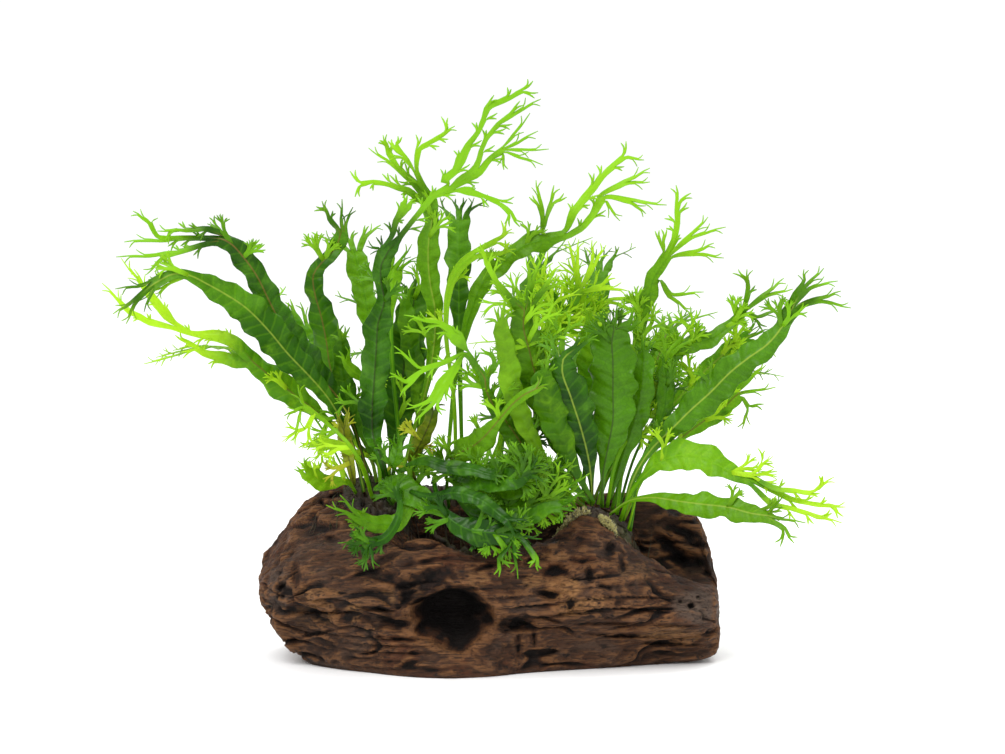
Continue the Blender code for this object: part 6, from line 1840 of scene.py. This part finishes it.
def back_fronds(heights: dict[str, float]) -> list[Frond]:
    """The fronds of the back and the sides: arching away from their crown, forked at the tip.

    Their height grows with the sine or a power of the share along, and they reach out with its 1.2th power.

    Args:
        heights: the height of each crown in mm.

    Returns:
        The fronds.
    """
    found = []
    for number, (name, (crown, x, y, turn, high, reach, width)) in enumerate(BACK_FRONDS.items()):
        way = np.array([math.cos(math.radians(turn)), math.sin(math.radians(turn)), 0.0])
        side = np.array([-way[1], way[0], 0.0])
        base = np.array([x, y, heights[crown]])
        sway = 0.10 * reach * math.sin(1.7 * number + 0.6)
        places, widths, before = [], [], []
        for t, wide in ((0, 0), (0.2, 0.17), (0.4, 0.3), (0.56, 0.75), (0.7, 1.0), (0.84, 0.85)):
            rise = high * math.sin(t * 2.0) / math.sin(2.0) if high < 0.8 * reach else high * t ** 0.85
            places.append(base + way * reach * t ** 1.2 + side * sway * math.sin(3 * t) + (0, 0, rise))
            widths.append(width * wide or STALK)
            before.append(len(places) - 2)
        end, root = places[-1], len(places) - 1
        onward = unit(end - places[-2])
        droop = np.array([0, 0, -0.35])
        for k, lean in enumerate((-0.75, 0.0, 0.75)):
            arm = end + (onward + side * lean + droop * (0.4 + 0.3 * k)) * (9 + 2 * math.sin(number + k))
            places.append(arm)
            widths.append(TIP_WIDTH * 1.35)
            before.append(root)
            here = len(places) - 1
            for turned in (-0.5, 0.5):
                places.append(arm + (onward + side * (lean + turned) + droop * 0.8)
                              * (11 + 3 * math.sin(2 * number + k)))
                widths.append(0.0)
                before.append(here)
        spots = np.array(places)
        face = way * 0.45 * (1 if number % 2 else -1) + np.array([0, 0, 1.0])
        found.append(Frond(name, LOOK.as_seen(spots), np.array(widths), np.array(before), face, spots[0]))
    return found


@dataclass
class Crown:
    """A crown of creeping rhizome on the log: knobbly stems in a mat of fine roots."""

    name: str
    path: Sequence[tuple[float, float]]
    half: float
    height: float
    wood: Driftwood
    front: float = 1.0
    stems: int = 4
    roots: int = 130
    runners: int = 34

    def line(self, share: Array) -> tuple[Array, Array]:
        """Places and side directions along the crown's path.

        Args:
            share: how far along, from 0 to 1.

        Returns:
            Places (x, y) in mm and unit directions to the side.
        """
        path = np.array(self.path, float)
        at = share * (len(path) - 1)
        spots = through(path, at)
        on = through(path, np.minimum(at + 0.02, len(path) - 1)) - through(path, np.maximum(at - 0.02, 0))
        on = unit(on)
        return spots, np.stack([-on[..., 1], on[..., 0]], axis=-1)

    def mat(self, sheet: Sheet) -> None:
        """The mat below the stems: a low dome over the log's own heights, roughened by ridged noise.

        Args:
            sheet: what it is added to.
        """
        rows, across = 60, 38
        share = np.linspace(0, 1, rows)
        spots, side = self.line(share)
        s = np.linspace(-1, 1, across)[None, :]
        taper = (np.sqrt(np.clip(1 - np.abs(2 * share - 1) ** 3, 0, 1)) * 0.75 + 0.25)[:, None]
        off = s * self.half * 0.93 * taper * np.where(s < 0, self.front, 1)
        flat = spots[:, None] + side[:, None] * off[..., None]
        ends = np.sqrt(np.clip(1 - (2 * share - 1) ** 4, 0, 1))[:, None]
        dome = np.sqrt(np.clip(1 - s * s, 0, 1)) * ends
        ground = self.wood.ground(flat[..., 0], flat[..., 1])
        rough = ridges(np.concatenate([flat, ground[..., None]], axis=-1), (3.2, 3.2, 3.2), 3, 41) - 0.5
        top = ground - 0.5 + (self.height * 0.62 + 1.8 * rough) * dome
        points = np.concatenate([flat, top[..., None]], axis=-1)
        low = np.concatenate([flat, (ground - 1.2)[..., None]], axis=-1)
        both = np.concatenate([points.reshape(-1, 3), low.reshape(-1, 3)])
        upper, under = grid_faces(rows, across), grid_faces(rows, across, rows * across)[:, ::-1]
        ring = np.concatenate([np.arange(across), np.arange(1, rows) * across + across - 1,
                               (rows - 1) * across + np.arange(across - 2, -1, -1),
                               np.arange(rows - 2, 0, -1) * across])
        after, shift = np.roll(ring, -1), rows * across
        rim = np.stack([after, ring, ring + shift, after + shift], axis=1)
        sheet.add(both, np.concatenate([upper, under, rim]), {})

    def creep(self, sheet: Sheet, seeds: np.random.Generator) -> None:
        """The rhizome stems: thick knobbly tubes along the path, side by side.

        Args:
            sheet: what they are added to.
            seeds: the random numbers.
        """
        steps = 50
        t = np.linspace(0, 1, steps)[None, :]
        start = seeds.uniform(0.0, 0.35, (self.stems, 1))
        share = start + (seeds.uniform(0.75, 1.0, (self.stems, 1)) - start) * t
        spots, side = self.line(share)
        lane = (np.arange(self.stems) - (self.stems - 1) / 2)[:, None] * self.half * 0.42
        sway = lane + 1.6 * np.sin(5.0 * t + seeds.uniform(0, 6.28, (self.stems, 1)))
        flat = spots + side * sway[..., None]
        radius = (1.9 + 0.35 * np.sin(26 * t + 4 * start) + 0.3 * np.sin(61 * t)) * np.clip(
            np.minimum(t, 1 - t) * 14, 0.05, 1) ** 0.5
        dome = np.sqrt(np.clip(1 - (sway / self.half) ** 2, 0, 1))
        z = self.wood.ground(flat[..., 0], flat[..., 1]) + self.height * 0.55 * dome
        paths = np.concatenate([flat, z[..., None]], axis=-1)
        points, quads = tubes(paths, radius, 10)
        lumps = 0.5 * (noise(points, (1.6, 1.6, 1.6), 43) - 0.5)
        sheet.add(points + (0, 0, 1) * lumps[:, None], quads, {})

    def strands(self, sheet: Sheet, seeds: np.random.Generator) -> None:
        """Fine roots: some mat the crown, and runners lie on over the log and follow its shape.

        Args:
            sheet: what they are added to.
            seeds: the random numbers.
        """
        steps = 12
        count = self.roots + self.runners
        t = np.linspace(0, 1, steps)[None, :]
        share = seeds.uniform(0.02, 0.98, (count, 1))
        spots, side = self.line(share)
        off = seeds.uniform(-0.75, 0.75, (count, 1)) * self.half
        turn = seeds.uniform(0, 2 * np.pi, (count, 1))
        long = np.concatenate([seeds.uniform(5, 12, (self.roots, 1)), seeds.uniform(14, 30, (self.runners, 1))])
        bend = seeds.uniform(-1.6, 1.6, (count, 1))
        way = turn + bend * t + 0.35 * np.sin(7 * t + turn)
        dx = np.cumsum(np.cos(way), axis=1) * long / steps
        dy = np.cumsum(np.sin(way), axis=1) * long / steps
        flat = spots + side * off[..., None] + np.stack([dx, dy], axis=-1)
        flat[..., 1] = np.maximum(flat[..., 1], -24 if self.name == "right" else -12)
        near, _ = self.line(np.clip(share + 0 * t, 0, 1))
        away = np.linalg.norm(flat - near, axis=-1) / self.half
        lift = self.height * 0.62 * np.sqrt(np.clip(1 - away ** 2, 0, 1))
        ground = self.wood.ground(flat[..., 0], flat[..., 1])
        level = np.minimum(ground, ground[:, :1] + 3)
        z = level + lift + 0.35 + 0.7 * np.sin(9 * t + 5 * turn) ** 2 * np.clip(1 - away, 0.2, 1)
        radius = seeds.uniform(0.16, 0.34, (count, 1)) * np.clip(np.minimum(t * 6, (1 - t) * 3) + 0.1, 0.05, 1)
        points, quads = tubes(np.concatenate([flat, z[..., None]], axis=-1), radius + 0 * t, 5)
        sheet.add(points, quads, {})

    def build(self) -> bpy.types.Object:
        """Makes the crown.

        Returns:
            The finished piece.
        """
        seeds = np.random.default_rng(len(self.name) * 31)
        sheet = Sheet()
        self.mat(sheet)
        self.creep(sheet, seeds)
        self.strands(sheet, seeds)
        piece = sheet.build("roots_" + self.name)
        piece.data.materials.append(RootFinish(self.name).material())
        place(piece, ("rhizome_" + self.name,), "rhizome")
        return piece


@dataclass
class Moss:
    """A pad of short moss: a low mound covered in pointed leaflets."""

    name: str
    path: Sequence[tuple[float, float]]
    half: float
    height: float
    wood: Driftwood
    leaflets: int = 1500

    def build(self) -> bpy.types.Object:
        """Makes the pad: a bumpy mound along the path, and leaflets of two folded triangles that lean outward.

        Returns:
            The finished piece.
        """
        seeds = np.random.default_rng(len(self.name) * 57)
        path = np.array(self.path, float)
        rows, across = 40, 16
        t = np.linspace(0, 1, rows)
        line = through(path, t * (len(path) - 1))
        turn = 2 * np.pi * np.arange(across) / across
        taper = np.sqrt(np.clip(1 - (2 * t - 1) ** 4, 0.02, 1))[:, None]
        rough = 1 + 0.3 * (layered(np.stack([line[:, :1] + 0 * turn, 4 * np.cos(turn) + 0 * taper,
                                             4 * np.sin(turn) + 0 * taper], axis=-1), (3, 3, 3), 2, 51) - 0.5)
        y = line[:, 1:] + self.half * 0.85 * taper * rough * np.cos(turn)
        x = line[:, :1] + 0 * y
        ground = self.wood.ground(x, y)
        z = ground + self.height * 0.5 + self.height * 0.6 * taper * rough * np.sin(turn)
        points = np.stack([x, y, z], axis=-1)
        sheet = Sheet()
        poles = np.concatenate([points[:1].mean(axis=1), points[-1:].mean(axis=1)])
        body = np.concatenate([points.reshape(-1, 3), poles])
        sheet.add(body, np.concatenate([grid_faces(rows, across, closed=True), end_fans(rows, across)]),
                  {"growth": np.full((len(body), 2), 0.15)})
        pick = seeds.integers(0, rows * across, self.leaflets)
        foot = points.reshape(-1, 3)[pick] + seeds.normal(0, 0.35, (self.leaflets, 3))
        middle = np.stack([line[:, 0], line[:, 1], ground.mean(axis=1)], axis=-1)[pick // across]
        out = unit(unit(foot - middle) + seeds.normal(0, 0.45, (self.leaflets, 3)) + (0, 0, 0.5))
        side = unit(np.cross(out, seeds.normal(0, 1, (self.leaflets, 3))))
        long = seeds.uniform(0.9, 2.2, (self.leaflets, 1))
        wide = seeds.uniform(0.16, 0.3, (self.leaflets, 1))
        fold = np.cross(side, out) * 0.12
        bits = np.stack([foot - side * wide, foot + side * wide, foot + out * long * 0.5 + side * wide * 1.1 + fold,
                         foot + out * long, foot + out * long * 0.5 - side * wide * 1.1 + fold,
                         foot + out * long * 0.4 + fold * 3], axis=1).reshape(-1, 3)
        base = np.arange(self.leaflets)[:, None] * 6
        faces = np.concatenate([base + f for f in ((0, 1, 5, 5), (1, 2, 5, 5), (2, 3, 5, 5), (3, 4, 5, 5),
                                                   (4, 0, 5, 5), (0, 4, 3, 3), (0, 3, 2, 2), (0, 2, 1, 1))])
        tone = np.tile(np.array([0.2, 0.2, 0.6, 1.0, 0.6, 0.5]), self.leaflets)
        sheet.add(bits, faces, {"growth": np.stack([tone, tone], axis=-1)})
        piece = sheet.build("tuft_" + self.name)
        piece.data.materials.append(MossFinish().material())
        place(piece, ("moss_" + self.name,), "moss")
        return piece


@dataclass
class Studio:
    """The pale floor, the white surroundings and the soft lights."""

    floor_half: float = 12.0
    back_light: float = 1.06

    def build(self) -> None:
        """Makes the floor, the world and two large soft lights."""
        half = self.floor_half
        mesh = bpy.data.meshes.new("floor")
        mesh.from_pydata([(-half, -half, 0), (half, -half, 0), (half, half, 0), (-half, half, 0)], [], [(0, 1, 2, 3)])
        floor = bpy.data.objects.new("floor", mesh)
        bpy.context.collection.objects.link(floor)
        mesh.materials.append(FloorFinish().material())
        world = bpy.data.worlds.new("studio")
        world.use_nodes = True
        sky = world.node_tree.nodes["Background"]
        sky.inputs["Color"].default_value = (1.0, 1.0, 1.0, 1.0)
        sky.inputs["Strength"].default_value = self.back_light
        bpy.context.scene.world = world
        self.lamp("key_light", (-0.5, -0.9, 1.25), (0.0, 0.0, 0.12), 0.9, 17.0)
        self.lamp("top_light", (0.5, 0.3, 1.5), (0.0, 0.0, 0.15), 0.8, 9.0)
        bpy.context.scene.view_settings.view_transform = "Standard"
        bpy.context.scene.view_settings.look = "None"

    def lamp(self, name: str, spot: Colour, aim: Colour, size: float, power: float) -> None:
        """Makes one square soft light.

        Args:
            name: its name.
            spot: where it stands, in metres.
            aim: what it points at, in metres.
            size: its width in metres.
            power: its watts.
        """
        data = bpy.data.lights.new(name, "AREA")
        data.size, data.energy = size, power
        lamp = bpy.data.objects.new(name, data)
        ahead = unit(np.array(aim) - np.array(spot))
        right = unit(np.cross(ahead, [0.0, 0.0, 1.0]))
        turn = np.eye(4)
        turn[:3, 0], turn[:3, 1], turn[:3, 2] = right, np.cross(right, ahead), -ahead
        turn[:3, 3] = spot
        lamp.matrix_world = Matrix(turn.tolist())
        bpy.context.collection.objects.link(lamp)


def main() -> None:
    """Loads the frame, builds every piece in order and notes the sizes."""
    logging.basicConfig(level=logging.INFO, format="%(name)s: %(message)s")
    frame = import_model()
    Studio().build()
    LOOK.camera()
    wood = Driftwood()
    wood.build()
    for name, spec in CROWNS.items():
        Crown(name, *spec, wood, front=0.4 if name == "middle" else 1.0).build()
    for name, spec in MOSS_PADS.items():
        Moss(name, *spec, wood).build()
    finishes = {tone: leaf.material() for tone, leaf in LEAVES.items()}
    heights = {name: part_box("rhizome_" + name)[1].z / MM for name in CROWNS}
    for frond in table_fronds() + back_fronds(heights):
        frond.build(frame["nodes"]["frond_" + frond.name], finishes)


if __name__ == "__main__":
    main()
